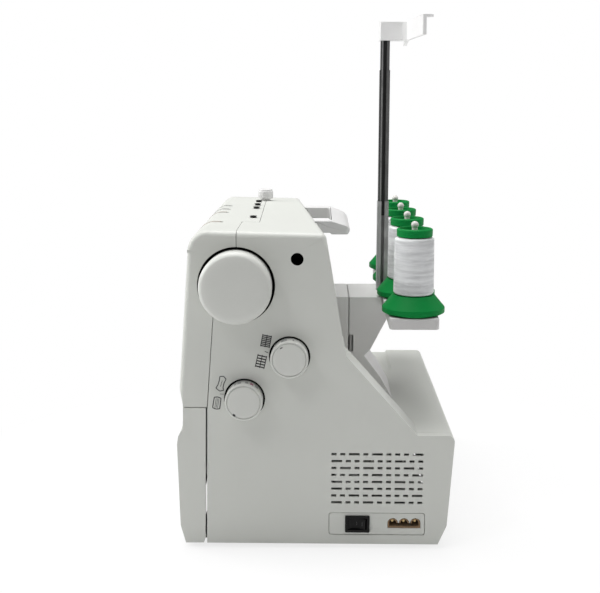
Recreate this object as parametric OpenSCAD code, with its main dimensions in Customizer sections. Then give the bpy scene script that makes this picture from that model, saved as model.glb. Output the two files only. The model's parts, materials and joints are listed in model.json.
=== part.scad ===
// Household overlock machine (serger) with four thread spools on a rear stand
// Lengths are in millimetres. X runs to the operator's right, Y to the back, Z up.

/* [Body] */
// Width of the body between its two ends
body_w = 320; // [312:1:340]
// Depth of the base, looper cover to rear wall
body_d = 248; // [240:1:262]
// Height of the top cover above the table
body_h = 290; // [284:1:300]
// Height of the rubber feet
foot_h = 4; // [3:0.5:6]
// Radius of the rubber feet
foot_r = 11; // [8:0.5:14]
// Wall thickness of the moulded covers
wall = 2.5; // [2:0.1:3]
// Gap between neighbouring covers
seam = 0.4; // [0.3:0.05:0.8]
// Height of the sewing bed above the table
bed_h = 132; // [130:0.5:134]
// Height of the rear shelf above the table
shelf_h = 107; // [100:0.5:110]
// Depth of the head, top cover to underside
head_depth = 100; // [99:0.5:102]
// Width of the sewing space left of the column
space_w = 91; // [86:1:96]
// Radius of the corner between front face and top
front_corner_r = 18; // [12:1:24]
// Radius of the rounded edge between the two ends and the front and top
edge_r = 5; // [2:0.5:5]
// How far the right end reaches back beyond the left end at the top
taper = 29; // [24:1:36]
// How far the front face leans back over its height
front_lean = 9.6; // [6:0.2:12]
// Distance from the front face to the seam between front and main covers
cover_split = 42.3; // [40:0.5:46]

/* [Controls] */
// Radius of the handwheel
wheel_r = 31.7; // [28:0.1:33]
// Distance that the handwheel stands out of the side
wheel_out = 20; // [14:0.5:24]
// Depth of the main shaft below the top cover
shaft_drop = 48; // [46:0.2:50]
// Radius of the two setting knobs on the side
knob_r = 16.7; // [14:0.1:18]
// Distance that the setting knobs stand out of the side
knob_out = 13; // [9:0.5:16]
// Gap between a knob or the handwheel and its recess
recess_gap = 1.5; // [1:0.1:3]
// Radius of the presser pressure knob
pressure_knob_r = 8.5; // [7.6:0.1:10]
// Height of the presser pressure knob above the cover
pressure_knob_h = 10.5; // [8:0.5:13]
// Radius of the thread tension dials
dial_r = 13; // [11:0.5:13]
// Width of the thread tension dials
dial_w = 9; // [7:0.5:11]
// Distance that a tension dial stands out of the front face
dial_out = 3; // [2:0.5:5]

/* [Thread stand] */
// Width of the bracket behind the column
arm_w = 74; // [66:1:80]
// Height of the bracket's top above the table
arm_h = 210; // [206:0.5:214]
// Length of the spool tray
tray_w = 300; // [292:1:312]
// Depth of the spool tray
tray_d = 44; // [42:0.5:50]
// Height of the spool tray's skirt
tray_h = 10; // [8:0.5:14]
// Distance between neighbouring spool pins
spool_pitch = 82.5; // [78:0.5:84]
// Radius of the spool pins
spool_pin_r = 2.6; // [2:0.1:3.2]
// Radius of the wound thread at its foot
thread_r = 18.3; // [14:0.1:22]
// Length of the wound thread
thread_len = 52.3; // [46:0.1:54]
// Radius of the spool's bottom flare
flare_r = 28.2; // [24:0.2:29]
// Radius of the spool's top rim
rim_r = 15.9; // [13:0.1:17]
// Overall height of a spool
spool_h = 76.7; // [74:0.1:84]
// Height of the thread guide's top above the table
guide_top = 474; // [462:1:478]
// Height of the thread guide bar
guide_h = 17.4; // [14:0.1:20]
// Reach of the thread guide bar to each side
guide_reach = 106; // [100:0.5:112]
// Depth of the lower pole section, front to back
pole_d = 11.2; // [10.8:0.1:12]
// Width of the lower pole section
pole_w = 9.8; // [9.4:0.1:10.4]
// Thickness of the pole's sheet metal
pole_t = 0.45; // [0.4:0.05:0.6]
// Travel of the middle pole section
middle_travel = 88; // [80:1:90]
// Travel of the top pole section
top_travel = 25; // [15:1:26]

/* [Mechanism] */
// Radius of the main shaft
shaft_r = 6; // [5:0.1:7]
// Running clearance between a shaft and its hole
run_gap = 0.05; // [0.02:0.01:0.08]
// Half of the needle bar's stroke
crank_r = 12; // [10:0.2:12]
// Radius of the needle bar
needle_bar_r = 3.5; // [3:0.1:4]
// Radius of the presser bar
presser_bar_r = 4; // [3.5:0.1:4.5]
// Distance of the needles from the left end
needle_inset = 38; // [36:0.5:42]
// Thickness of the needle plate
plate_t = 2; // [1.5:0.1:2.4]
// Clearance between parts that sit beside each other
fit = 0.3; // [0.25:0.05:0.4]

/* [Hidden] */
fine = 64;
eps = 0.01;
cut = 1;

// Ends and faces of the body
left_x = -body_w / 2;
right_x = body_w / 2;
front_y = -body_d / 2;
rear_y = body_d / 2;
column_x = left_x + space_w;
head_h = body_h - head_depth;
shaft_z = body_h - shaft_drop;
deep = 400;

// Front face of the head: foot of the lean, finger notch and lean line
notch_y = front_y + 6;
face_low_y = front_y + 3;
notch_top = bed_h + 17;
notch_low = bed_h - 20;
face_top = body_h - front_corner_r - 1;
function face_y(z) = face_low_y + (z - notch_top) * front_lean / (face_top - notch_top);
lean_angle = atan(front_lean / (face_top - notch_top));

// Rear wall of the head and column: it leans back downwards and tapers to the left
rear_fall = 2.5;
rear_lean = 0.162;
rear_top_right = front_y + 133.2;
rear_top_mid = rear_top_right - taper / 2;
taper_angle = atan(taper / body_w);
function rear_wall_y(x, z) =
    rear_top_mid + x * taper / body_w + (body_h - rear_fall - z) * rear_lean;

// Seam lines on the right side
split_y = face_y(face_top) + cover_split;
bed_split_y = front_y + 27.4;
low_split_y = front_y + 25;

// Axes of the controls on the right side, and of the main shaft
wheel_y = front_y + 54.6;
wheel_recess_r = wheel_r + 2.2;
wheel_pocket = 12;
knob_pocket = 3;
knob_recess_r = knob_r + recess_gap;
stitch_y = front_y + 101;
stitch_z = shaft_z - 63;
diff_y = front_y + 61;
diff_z = bed_h + 8.5;
spy_y = front_y + 107.7;
spy_z = body_h - 24.6;
spy_r = 5.5;
spy_depth = 32;
seam_mid_y = wheel_y - 20.6;
seam_mid_z = shaft_z - 27;

// Needle, presser bar and the mechanism round them
needle_x = left_x + needle_inset;
needle_y = front_y + 46;
presser_y = front_y + 66;
crank_x = needle_x + 16;
rod_len = 26;
collar_z = shaft_z + crank_r - rod_len;
plate_rear_y = front_y + 77;
plate_front_y = plate_rear_y + 6;
lever_z = head_h + 17;
lamp_x = column_x - 16;
lamp_y = front_y + 20;
lever_hub_r = 5.4;
arm_top_z = body_h - 18;
lug_low_z = head_h + 3;
lug_high_z = shaft_z + 1.4;
low_lug_h = 7;
high_lug_h = 10;
lug_left_x = needle_x - 8;
lug_right_x = needle_x + 5.5;
looper_shaft_y = front_y + 104;
deck_z = bed_h - 20;
looper_shaft_z = deck_z - 17;
deck_t = 6;
deck_front_y = front_y + 64;
deck_rear_y = front_y + 120;
motor_y = front_y + 152;
motor_z = foot_h + 54;
drive_x = right_x - 29;
drive_w = 8;
drive_pulley_r = 28;
motor_pulley_r = 8;
timing_x = right_x - 54;
timing_w = 8;
timing_pulley_r = 20;
belt_t = 1.8;

// Thread stand
arm_mid_x = 6.5;
arm_left_x = arm_mid_x - arm_w / 2;
arm_right_x = arm_mid_x + arm_w / 2;
arm_split_y = rear_y - 92;
arm_rear_y = rear_y - 59.4;
tray_front_y = arm_rear_y + fit;
tray_rear_y = tray_front_y + tray_d;
tray_top = arm_h + 1;
tray_low = tray_top - tray_h;
pole_y = arm_rear_y + 1.8;
pole_lap = 15;
pole_gap = 0.15;
pole_joint_1 = arm_h + 90;
pole_joint_2 = guide_top - guide_h - top_travel - 3;
pole_foot_z = pole_joint_1 - pole_lap - middle_travel - 3;
spool_y = tray_front_y + 22.8;
spool_z = tray_top + 0.5;
bore_r = 5;
flare_top = spool_h - thread_len - 7.4;
port_x = [for (d = [56.7, 92.3, 125.8, 209.6]) left_x + d];
slot_x = [for (d = [107, 141, 171, 252]) left_x + d];
dial_z = body_h - 54;

// Ports, seam and slots on the top run slightly askew to the front
top_skew = 0.022;
function port_y(x) = front_y + 65.5 + (x - right_x) * top_skew;
function slot_end_y(x) = front_y + 37.5 + (x - right_x) * top_skew;
ports_right_x = right_x - 74;
port_l = 10.4;
port_w = 7;
dial_y = face_y(dial_z) - dial_out + dial_r;
hinge_y = front_y + 7;
hinge_z = foot_h + 8;
hinge_pin_r = 2;
hinge_x = right_x - 22;
pan_t = 2.5;
pan_front_y = hinge_y + 11;
pan_rear_y = rear_y - 8;
pan_side = wall + 2 * fit;

// Everything is drawn about the middle of the body and then set so that the
// handwheel, which stands out on one side, stays inside a centred box
module placed() translate([-wheel_out / 2, 0, 0]) children();

// Y-Z outline drawn out between two X positions
module along_x(x0, x1) translate([x0, 0, 0]) rotate([90, 0, 90]) linear_extrude(x1 - x0) children();

// X-Z outline drawn out between two Y positions
module along_y(y0, y1) translate([0, y1, 0]) rotate([90, 0, 0]) linear_extrude(y1 - y0) children();

// X-Y outline drawn out between two heights
module along_z(z0, z1) translate([0, 0, z0]) linear_extrude(z1 - z0) children();

module block(x0, x1, y0, y1, z0, z1) translate([x0, y0, z0]) cube([x1 - x0, y1 - y0, z1 - z0]);

module rod_x(x0, x1, y, z, r) translate([x0, y, z]) rotate([0, 90, 0]) cylinder(h = x1 - x0, r = r,
    $fn = fine);

module rod_y(x, y0, y1, z, r) translate([x, y1, z]) rotate([90, 0, 0]) cylinder(h = y1 - y0, r = r,
    $fn = fine);

module rod_z(x, y, z0, z1, r) translate([x, y, z0]) cylinder(h = z1 - z0, r = r, $fn = fine);

// Points on an arc
function arc(c, r, a0, a1, n = 8) =
    [for (i = [0:n]) let (a = a0 + (a1 - a0) * i / n) c + r * [cos(a), sin(a)]];

// Rectangle with rounded corners between two corner points
module round_rect(p, q, r) {
    translate(p + [r, 0]) square([q.x - p.x - 2 * r, q.y - p.y]);
    translate(p + [0, r]) square([q.x - p.x, q.y - p.y - 2 * r]);
    for (x = [p.x + r, q.x - r], y = [p.y + r, q.y - r]) translate([x, y]) circle(r, $fn = 32);
}

// ---- Housing outlines ----

// Y-Z outline of the head and column, inset by t, open downwards at floor_z
function upper_outline(t, floor_z) = concat(
    [[notch_y + t, floor_z], [notch_y + t, bed_h + 3], [notch_y - 1.3 + t, bed_h + 10],
     [face_low_y + t, notch_top]],
    arc([face_y(face_top) + front_corner_r, body_h - front_corner_r], front_corner_r - t,
        180 - lean_angle, 90),
    [[rear_y, body_h - t], [rear_y, floor_z]]);

// Everything in front of the leaning, tapered rear wall, inset by t
module rear_block(t) rotate([0, 0, taper_angle]) let (c = cos(taper_angle))
    along_x(-deep, deep) polygon(concat(
        [[-deep, 0], [c * (rear_top_mid + (body_h - rear_fall) * rear_lean) - t, 0]],
        arc([c * rear_top_mid - 5, body_h - rear_fall - 5], 5 - t, 9, 90, 5),
        [[-deep * 0.5, body_h - t + 2], [-deep, body_h]]));

// The solid space that the head and column covers wrap round
module upper_block(t, floor_z) difference() {
    intersection() {
        along_x(left_x + t, right_x - t) polygon(upper_outline(t, floor_z));
        rear_block(t);
    }
    block(left_x - cut, column_x + t, -deep, deep, 0, head_h + t);
}

// What a rounded edge takes off a square corner whose two faces are y = 0 and x = 0
module edge_waste(r) difference() {
    translate([-r, -r]) square([r + cut, r + cut]);
    translate([-r, -r]) circle(r, $fn = 48);
}

// Takes the corner off the edge between the right end of the head and its front and top
edge_tail = 12;
corner_mid_y = face_y(face_top) + front_corner_r;
module end_edge() translate([right_x, 0, 0]) {
    // Front face, set along its lean, running out in the finger notch
    translate([0, face_y(notch_top), notch_top]) rotate([-lean_angle, 0, 0]) mirror([0, 1, 0])
        translate([0, 0, -edge_tail]) linear_extrude(edge_tail + (face_top - notch_top) / cos(lean_angle)
            + eps)
            edge_waste(edge_r);
    // Corner between front and top
    translate([0, corner_mid_y, body_h - front_corner_r]) rotate([0, 90, 0]) rotate([0, 0, 180])
        rotate_extrude(angle = 90 - lean_angle, $fn = 96) translate([front_corner_r, 0]) edge_waste(edge_r);
    // Top
    translate([0, deep, body_h]) rotate([90, 0, 0]) linear_extrude(deep - corner_mid_y) edge_waste(edge_r);
}

// Side outline behind the front seams, with the gusset down to the shelf, inset by t
function gusset_y(z) = rear_wall_y(right_x, z);
gusset_head = bed_h + 47.5;
gusset_w = 36;
function side_outline(t) = concat(
    [[low_split_y, foot_h + t], [bed_split_y, bed_h], [seam_mid_y, seam_mid_z], [wheel_y, shaft_z],
     [wheel_y, gusset_head + 17], [gusset_y(gusset_head + 17) - t, gusset_head + 17],
     [gusset_y(gusset_head) - t, gusset_head - t * 0.5], [rear_y - 33 - t * 0.7, shelf_h - 0.3 - t]],
    arc([rear_y - 6, shelf_h - 6], 6 - t, 90, 5, 5),
    [[rear_y - 5.3 - t, foot_h + 18], [rear_y - 13, foot_h + t]]);

// Outline of the left-hand lower body, inset by t
bed_rear_y = rear_y - 99;
bed_foot_y = rear_y - 79;
function left_outline(t) = concat(
    [[low_split_y, foot_h + t], [bed_split_y, bed_h - t]],
    arc([bed_rear_y - 6, bed_h - 6], 6 - t, 90, 40, 4),
    [[bed_foot_y, shelf_h - 3 - t], [rear_y - 43, shelf_h - 3 - t], [rear_y - 41, shelf_h - 0.4 - t]],
    arc([rear_y - 6, shelf_h - 6.4], 6 - t, 90, 5, 5),
    [[rear_y - 5.3 - t, foot_h + 18], [rear_y - 13, foot_h + t]]);

// Outline of the shelf and rear wall across the back
function back_outline(t) = concat(
    [[-deep / 2, foot_h + t], [-deep / 2, shelf_h - t], [rear_y - 33, shelf_h - t]],
    arc([rear_y - 6, shelf_h - 6], 6 - t, 90, 5, 5),
    [[rear_y - 5.3 - t, foot_h + 18], [rear_y - 13, foot_h + t]]);

// Zone in front of the seam between front and main covers, moved back by g
module front_zone(g) along_x(left_x - cut, right_x + cut) polygon([[-deep, 0],
    [low_split_y + g, 0], [bed_split_y + g, bed_h], [seam_mid_y + g, seam_mid_z], [wheel_y + g, shaft_z],
    [split_y + g, shaft_z], [split_y + g, deep], [-deep, deep]]);

// Patch behind that seam on the top that carries the thread ports, grown by g
module port_patch(g) along_z(body_h - 9 - g, body_h + cut) polygon([[left_x - cut, -deep],
    [ports_right_x + g, -deep],
    [ports_right_x + g, port_y(ports_right_x) + port_gap + g], [left_x - cut, port_y(left_x)
        + port_gap + g]]);
port_gap = 7.2;

// Cup that lines a round recess in the right side
module cup(y, z, r, depth) rod_x(right_x - depth - wall, right_x - eps, y, z, r + wall);
module cup_cut(y, z, r, depth) rod_x(right_x - depth, right_x + cut, y, z, r);

// Slots of the ventilation grille: S and L in each row give the short and long slots
grille_rows = ["SSLSLSSSL", "LSSLSSLSS", "SLSLSSSLS", "SSLSLSSSL",
    "LSSSLSLSS", "LSSLSSLSS", "SSLSLSSSL", "LSSLSSLSS"];
grille_y = rear_y - 109.7;
grille_z = foot_h + 86.4;
grille_w = 82;
row_pitch = 6.5;
slot_h = 2.2;
slot_gap = 3.3;
short_slot = 4.5;
function slot_units(row, i) = i < 0 ? 0 : (row[i] == "L" ? 2 : 1) + slot_units(row, i - 1);
function slot_len(row, i) = row[i] == "L" ? long_slot(row) : short_slot;
function long_slot(row) = let (n = len(row), longs = slot_units(row, n - 1) - n)
    (grille_w - (n - 1) * slot_gap - (n - longs) * short_slot) / longs;
function slot_start(row, i) = i == 0 ? 0 : slot_start(row, i - 1) + slot_len(row, i - 1) + slot_gap;
module grille_slots() for (r = [0:len(grille_rows) - 1], i = [0:len(grille_rows[r]) - 1])
    translate([grille_y + slot_start(grille_rows[r], i), grille_z - r * row_pitch - slot_h])
        square([slot_len(grille_rows[r], i), slot_h]);

// Power panel, with the rocker switch and the three-pin inlet
panel_p = [rear_y - 112, foot_h + 8.6];
panel_q = [rear_y - 25, foot_h + 30];
switch_p = [rear_y - 97.1, foot_h + 11.3];
switch_q = [rear_y - 75, foot_h + 27.2];
inlet_mid_y = rear_y - 43.8;
inlet_z = foot_h + 20;
inlet_lobe_r = 4.4;
inlet_pitch = 10.2;
inlet_depth = 15;
module inlet_shape(g) {
    for (i = [-1:1]) translate([inlet_mid_y + i * inlet_pitch, inlet_z]) circle(inlet_lobe_r + g, $fn = 32);
    translate([inlet_mid_y - inlet_pitch - inlet_lobe_r - g, inlet_z - inlet_lobe_r - g])
        square([2 * (inlet_pitch + inlet_lobe_r + g), inlet_lobe_r + g]);
}

// ---- Covers ----

// Shell of the head and column, with the recess for the handwheel
module upper_shell() difference() {
    union() {
        difference() {
            upper_block(0, bed_h + seam);
            upper_block(wall, bed_h - cut);
        }
        intersection() {
            cup(wheel_y, shaft_z, wheel_recess_r, wheel_pocket);
            upper_block(0, bed_h + seam);
        }
    }
    cup_cut(wheel_y, shaft_z, wheel_recess_r, wheel_pocket);
    rod_x(right_x - 40, right_x + cut, wheel_y, shaft_z, wheel_r - 3);
    end_edge();
    mirror([1, 0, 0]) end_edge();
}

module side_panel() {
    along_x(right_x - wall, right_x) polygon(side_outline(0));
    // Flange that gives the gusset and the lower edges their thickness
    intersection() {
        difference() {
            along_x(right_x - 10, right_x - wall + eps) polygon(side_outline(0));
            along_x(right_x - 10 - cut, right_x) polygon(side_outline(wall));
        }
        block(left_x, right_x, rear_y - 109, rear_y, foot_h, gusset_head + 10.5);
    }
    // The gusset is a hollow buttress as wide as its foot
    difference() {
        along_x(right_x - gusset_w, right_x - wall + eps) polygon(side_outline(0));
        along_x(right_x - gusset_w + wall, right_x) polygon(side_outline(wall));
        block(left_x, right_x + cut, -deep, deep, 0, shelf_h + fit);
        block(left_x, right_x + cut, -deep, deep, gusset_head, deep);
        block(left_x, right_x + cut, -deep, rear_y - 109, 0, deep);
        rear_block(wall);
    }
    // Ribs behind the gusset
    for (k = [1:3]) block(right_x - 8, right_x - wall + eps, rear_y - 88 + 14 * k, rear_y - 86.4 + 14 * k,
        shelf_h - 30, shelf_h + 56 - 15.4 * k);
    cup(stitch_y, stitch_z, knob_recess_r, knob_pocket);
    cup(diff_y, diff_z, knob_recess_r, knob_pocket);
    // Collar round the screw hole near the top
    rod_x(right_x - spy_depth, right_x - eps, spy_y, spy_z, spy_r + wall);
}

// Recesses and openings of the right side
module side_cuts() {
    cup_cut(wheel_y, shaft_z, wheel_recess_r, wheel_pocket);
    cup_cut(stitch_y, stitch_z, knob_recess_r, knob_pocket);
    cup_cut(diff_y, diff_z, knob_recess_r, knob_pocket);
    rod_x(right_x - 30, right_x, stitch_y, stitch_z, 5);
    rod_x(right_x - 30, right_x, diff_y, diff_z, 5);
    rod_x(right_x - spy_depth + 4, right_x + cut, spy_y, spy_z, spy_r);
    rod_x(right_x - spy_depth - cut, right_x, spy_y, spy_z, 2.2);
    along_x(right_x - wall - cut, right_x + cut) grille_slots();
    along_x(right_x - wall - cut, right_x + cut) round_rect(panel_p, panel_q, 2.5);
}

module main_cover() color("gainsboro") placed() difference() {
    union() {
        difference() {
            upper_shell();
            front_zone(0);
            block(left_x - cut, left_x + 10, -deep, deep, 0, deep);
        }
        side_panel();
        // Inner wall from the bed down to the shelf behind the column
        difference() {
            intersection() {
                block(column_x, right_x - wall, front_y + 104, rear_y, shelf_h, bed_h + cut);
                rear_block(0);
            }
            rear_block(wall);
        }
    }
    front_zone(seam);
    port_patch(seam);
    block(left_x, column_x + 12, -deep, deep, 0, bed_h + seam);
    side_cuts();
    // Holes for the pressure knob and for the presser lever's shaft
    rod_z(needle_x, presser_y, body_h - 20, body_h + cut, 5.7);
    rod_y(needle_x, plate_front_y, rear_wall_y(needle_x, lever_z) + 6, lever_z, 4.2);
    // Bars pass through the head's underside
    block(needle_x - 8, needle_x + 8, needle_y - 8, presser_y + 8, head_h - cut, head_h + wall + cut);
}

module oval(l, w) {
    square([l - w, w], center = true);
    for (s = [-1, 1]) translate([s * (l - w) / 2, 0]) circle(w / 2, $fn = 32);
}

module front_cover() color("gainsboro") placed() difference() {
    union() {
        intersection() {
            upper_shell();
            difference() {
                union() {
                    front_zone(0);
                    port_patch(0);
                }
                block(left_x - cut, left_x + 10 + seam, -deep, deep, 0, deep);
            }
        }
        // Cheeks that carry the tension dials' pins
        for (x = slot_x, s = [-1, 1]) intersection() {
            rod_x(x + s * (dial_w / 2 + 2) - 1, x + s * (dial_w / 2 + 2) + 1, dial_y, dial_z, dial_r - 5);
            upper_block(0, bed_h);
        }
        for (x = slot_x, s = [-1, 1]) intersection() {
            block(x + s * (dial_w / 2 + 2) - 1, x + s * (dial_w / 2 + 2) + 1, -deep, dial_y,
                dial_z - 6, dial_z + 6);
            upper_block(1, bed_h);
        }
        for (x = slot_x) rod_x(x - dial_w / 2 - 2, x + dial_w / 2 + 2, dial_y, dial_z, 2.5);
    }
    // Windows for the dials, and the lay-in slots for the threads above them
    for (x = slot_x) {
        block(x - dial_w / 2 - 0.6, x + dial_w / 2 + 0.6, -deep, face_y(dial_z) + wall + 2,
            dial_z - dial_r + 1.5, dial_z + dial_r - 1.5);
        block(x - 1.5, x + 1.5, -deep, slot_end_y(x), dial_z, body_h + cut);
        translate([x, slot_end_y(x), body_h - wall - cut]) linear_extrude(2 * cut + wall) oval(5.6, 4.4);
    }
    // Grommet holes of the thread ports, and the hole of the pressure knob
    for (x = port_x) translate([x, port_y(x), body_h - wall - cut]) linear_extrude(2 * cut + wall)
        oval(port_l - 1.2, port_w - 1.2);
    rod_z(needle_x, presser_y, body_h - 20, body_h + cut, 5.7);
    block(needle_x - 8, needle_x + 8, needle_y - 8, presser_y + 8, head_h - cut, head_h + wall + cut);
    rod_z(lamp_x, lamp_y, head_h - cut, head_h + wall + cut, 9.5);
}

module face_cover() color("gainsboro") placed() intersection() {
    upper_shell();
    block(left_x - cut, left_x + 10, -deep, deep, 0, deep);
}

// Opening for the needle plate, loopers and knives
module plate_opening(g) along_z(bed_h - wall - cut, bed_h + cut) polygon([
    [needle_x - 28 - g, front_y + 12 - g], [needle_x + 27 + g, front_y + 12 - g],
    [needle_x + 27 + g, front_y + 84 + g], [needle_x - 28 - g, front_y + 84 + g]]);

module left_cover() color("gainsboro") placed() difference() {
    union() {
        difference() {
            union() {
                along_x(left_x, column_x - seam) polygon(left_outline(0));
                block(left_x + wall + seam, column_x - seam, notch_y + wall + seam, bed_split_y + cut,
                    bed_h - wall, bed_h);
            }
            along_x(left_x + wall, column_x + cut) polygon(left_outline(wall));
            // The front stays open behind the looper cover
            block(left_x + wall, column_x, -deep, bed_split_y + 4, 0, bed_h - wall);
            block(left_x - cut, left_x + wall + seam, -deep, low_split_y + seam, 0, bed_h + cut);
            block(left_x + wall, column_x, -deep, deep, 0, foot_h + wall + cut);
        }
        // Stiffening ribs under the rear slope
        for (x = [left_x + 30, left_x + 60]) intersection() {
            along_x(x, x + 1.8) polygon(left_outline(1));
            block(x - cut, x + 3, bed_rear_y - 20, rear_y, bed_h - 40, bed_h);
        }
    }
    plate_opening(0);
}

module rear_cover() color("gainsboro") placed() difference() {
    union() {
        difference() {
            along_x(column_x + seam, right_x - 10 - seam) polygon(back_outline(0));
            along_x(column_x, right_x) polygon(back_outline(wall));
            block(column_x, right_x, -deep, deep, 0, foot_h + wall + cut);
            rear_block(-seam);
            block(left_x, right_x, -deep, rear_y - 104, 0, shelf_h + cut);
        }
        // Vertical ribs inside the rear wall
        for (x = [column_x + 29:30:right_x - 50]) intersection() {
            along_x(x, x + 1.8) polygon(back_outline(1));
            block(x - cut, x + 3, rear_y - 14, rear_y, foot_h + 20, shelf_h);
        }
    }
}

// Looper cover: front wall with the finger notch, side wings and two hinge ears
function front_outline(t) = [[hinge_y + 2, foot_h + t], [front_y + 6.2 + t * 0.5, foot_h + t],
    [front_y + 1.7 + t, foot_h + 17], [front_y + t, bed_h - 34.5], [front_y + 1.2 + t, bed_h - 27],
    [notch_y - 0.8 + t, notch_low], [notch_y - 0.2 + t, bed_h - 12], [notch_y + t, bed_h - 5],
    [notch_y + t, bed_h - seam]];
module wing_outline() polygon(concat(front_outline(0), [[bed_split_y - seam - 0.6, bed_h - seam],
    [low_split_y - seam - 0.4, hinge_z + 2]],
    arc([hinge_y, hinge_z], 17.4, 6, -27, 4)));

module looper_cover() color("gainsboro") placed() difference() {
    union() {
        intersection() {
            difference() {
                along_x(left_x, right_x) polygon(concat(front_outline(0), [[front_y + 40, bed_h - seam],
                    [front_y + 40, foot_h]]));
                along_x(left_x - cut, right_x + cut) polygon(concat(front_outline(wall),
                    [[notch_y + wall, bed_h + cut], [front_y + 40 + cut, bed_h + cut],
                    [front_y + 40 + cut, foot_h + wall]]));
            }
            block(left_x, right_x, front_y - cut, hinge_y + 2, foot_h, bed_h);
        }
        for (x = [left_x, right_x - wall]) along_x(x, x + wall) wing_outline();
        // Ribs inside the front wall
        for (x = [left_x + 50:44:right_x - 50]) difference() {
            along_x(x, x + 1.8) polygon(concat(front_outline(1), [[notch_y + 5, bed_h - 6],
                [front_y + 6, foot_h + 24]]));
            block(x - cut, x + 3, notch_y + 4.5, rear_y, foot_h, bed_h);
        }
        // Hinge ears
        for (x = [-hinge_x, hinge_x]) {
            rod_x(x - 4, x + 4, hinge_y, hinge_z, 4.5);
            block(x - 4, x + 4, front_y + 4, hinge_y, foot_h + 1, hinge_z + 3);
        }
    }
    for (x = [-hinge_x, hinge_x]) {
        rod_x(x - 10, x + 10, hinge_y, hinge_z, hinge_pin_r + run_gap);
        // The ears are open where the base pan's lugs hold the pin
        for (s = [-1, 1]) block(x + s * 6.3 - 2, x + s * 6.3 + 2, hinge_y - 5.2, hinge_y + 6,
            foot_h - cut, hinge_z + 6);
    }
}

module inner_panel() color("lightgray") placed() difference() {
    union() {
        block(column_x + 2, right_x - 6, panel_y - 2, panel_y + eps, foot_h + pan_t, bed_h - 3);
        for (x = [column_x + 30:42:right_x - 40]) block(x, x + 2, panel_y, panel_y + 8, foot_h + pan_t + 6,
            bed_h - 5 + eps);
        block(column_x + 2, right_x - 6, panel_y, panel_y + 10, bed_h - 5, bed_h - 3);
    }
    for (x = foot_xs) rod_z(x, foot_ys[0], foot_h, foot_h + pan_t + 2, 4);
    for (x = [column_x + 20, right_x - 24]) rod_y(x, panel_y - 5, panel_y + 2, bed_h - 14, 2);
}

panel_y = front_y + 34;

module carry_handle() color("whitesmoke") placed() difference() {
    intersection() {
        along_x(handle_x0, handle_x1) polygon([[handle_rear - 70, body_h - 1.5], [handle_rear - 17.5,
            body_h - 1.5],
            [handle_rear - 3.5, body_h - 6.1], [handle_rear, body_h - 9], [handle_rear, body_h - 12],
            [handle_rear - 2, body_h - 14.5], [handle_rear - 17.5, body_h - 14.5], [handle_rear - 18.5,
                body_h - 13],
            [handle_rear - 70, body_h - 13]]);
        // Seen from above, the far corner is well rounded
        along_z(body_h - 20, body_h) polygon(concat([[handle_x0, handle_rear - 80], [handle_x1,
            handle_rear - 80]],
            arc([handle_x1 - 5, handle_rear - 5], 5, 0, 90, 5),
            arc([handle_x0 + handle_bend, handle_rear - handle_bend], handle_bend, 90, 180, 8)));
    }
    rear_block(-fit);
    rotate([0, 0, taper_angle]) block(-deep, deep, -deep, rear_top_mid - 3, body_h - rear_fall - 1, body_h);
    // Finger gap
    along_z(body_h - 20, body_h) round_rect([handle_x0 + 15, handle_rear - 70], [handle_x1 - 7,
        handle_rear - 18], 3);
}
handle_x0 = -62;
handle_x1 = 73;
handle_rear = rear_top_right + 22.3;
handle_bend = 25;

module thread_ports() color("black") placed() for (x = port_x)
    translate([x, port_y(x), body_h - wall - 1]) difference() {
        union() {
            linear_extrude(wall + 1 + eps) oval(port_l - 1.4, port_w - 1.4);
            translate([0, 0, wall + 1]) linear_extrude(0.3) oval(port_l, port_w);
        }
        translate([0, 0, -cut]) linear_extrude(wall + 4) oval(port_l - 3.6, port_w - 3.6);
    }

// ---- Base ----

module base_pan() color("dimgray") placed() difference() {
    union() {
        block(left_x + pan_side, right_x - pan_side - 8, pan_front_y, pan_rear_y - 6, foot_h, foot_h + pan_t);
        // Hinge lugs of the looper cover, with their pins
        for (x = [-hinge_x, hinge_x]) {
            for (s = [-1, 1]) hull() {
                rod_x(x + s * 6.3 - 1.7, x + s * 6.3 + 1.7, hinge_y, hinge_z, 4);
                block(x + s * 6.3 - 1.7, x + s * 6.3 + 1.7, pan_front_y, pan_front_y + 14, foot_h,
                    foot_h + 6);
            }
            rod_x(x - 8, x + 8, hinge_y, hinge_z, hinge_pin_r);
        }
        // Stiffening ribs and screw towers
        for (y = [front_y + 64, front_y + 124, rear_y - 64]) block(left_x + 12, right_x - 24, y, y + 2,
            foot_h + pan_t - eps, foot_h + 9);
        for (x = tower_xs, y = tower_ys) rod_z(x, y, foot_h + pan_t - eps, foot_h + 14, 5);
    }
    for (x = foot_xs, y = foot_ys) rod_z(x, y, 0, foot_h + 10, 3.2);
    for (x = tower_xs, y = tower_ys) rod_z(x, y, foot_h + 4, foot_h + 20, 1.6);
}
foot_xs = [left_x + 26, right_x - 40];
foot_ys = [front_y + 34, rear_y - 34];
tower_xs = [left_x + 20, right_x - 30];
tower_ys = [front_y + 40, pan_rear_y - 18];

module rubber_feet() color("dimgray") placed() for (x = foot_xs, y = foot_ys) {
    translate([x, y, 0]) cylinder(h = 0.8, r1 = foot_r - 0.8, r2 = foot_r, $fn = fine);
    rod_z(x, y, 0.8 - eps, foot_h, foot_r);
    rod_z(x, y, foot_h - eps, foot_h + pan_t + 1, 3);
}

// ---- Frame ----

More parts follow.
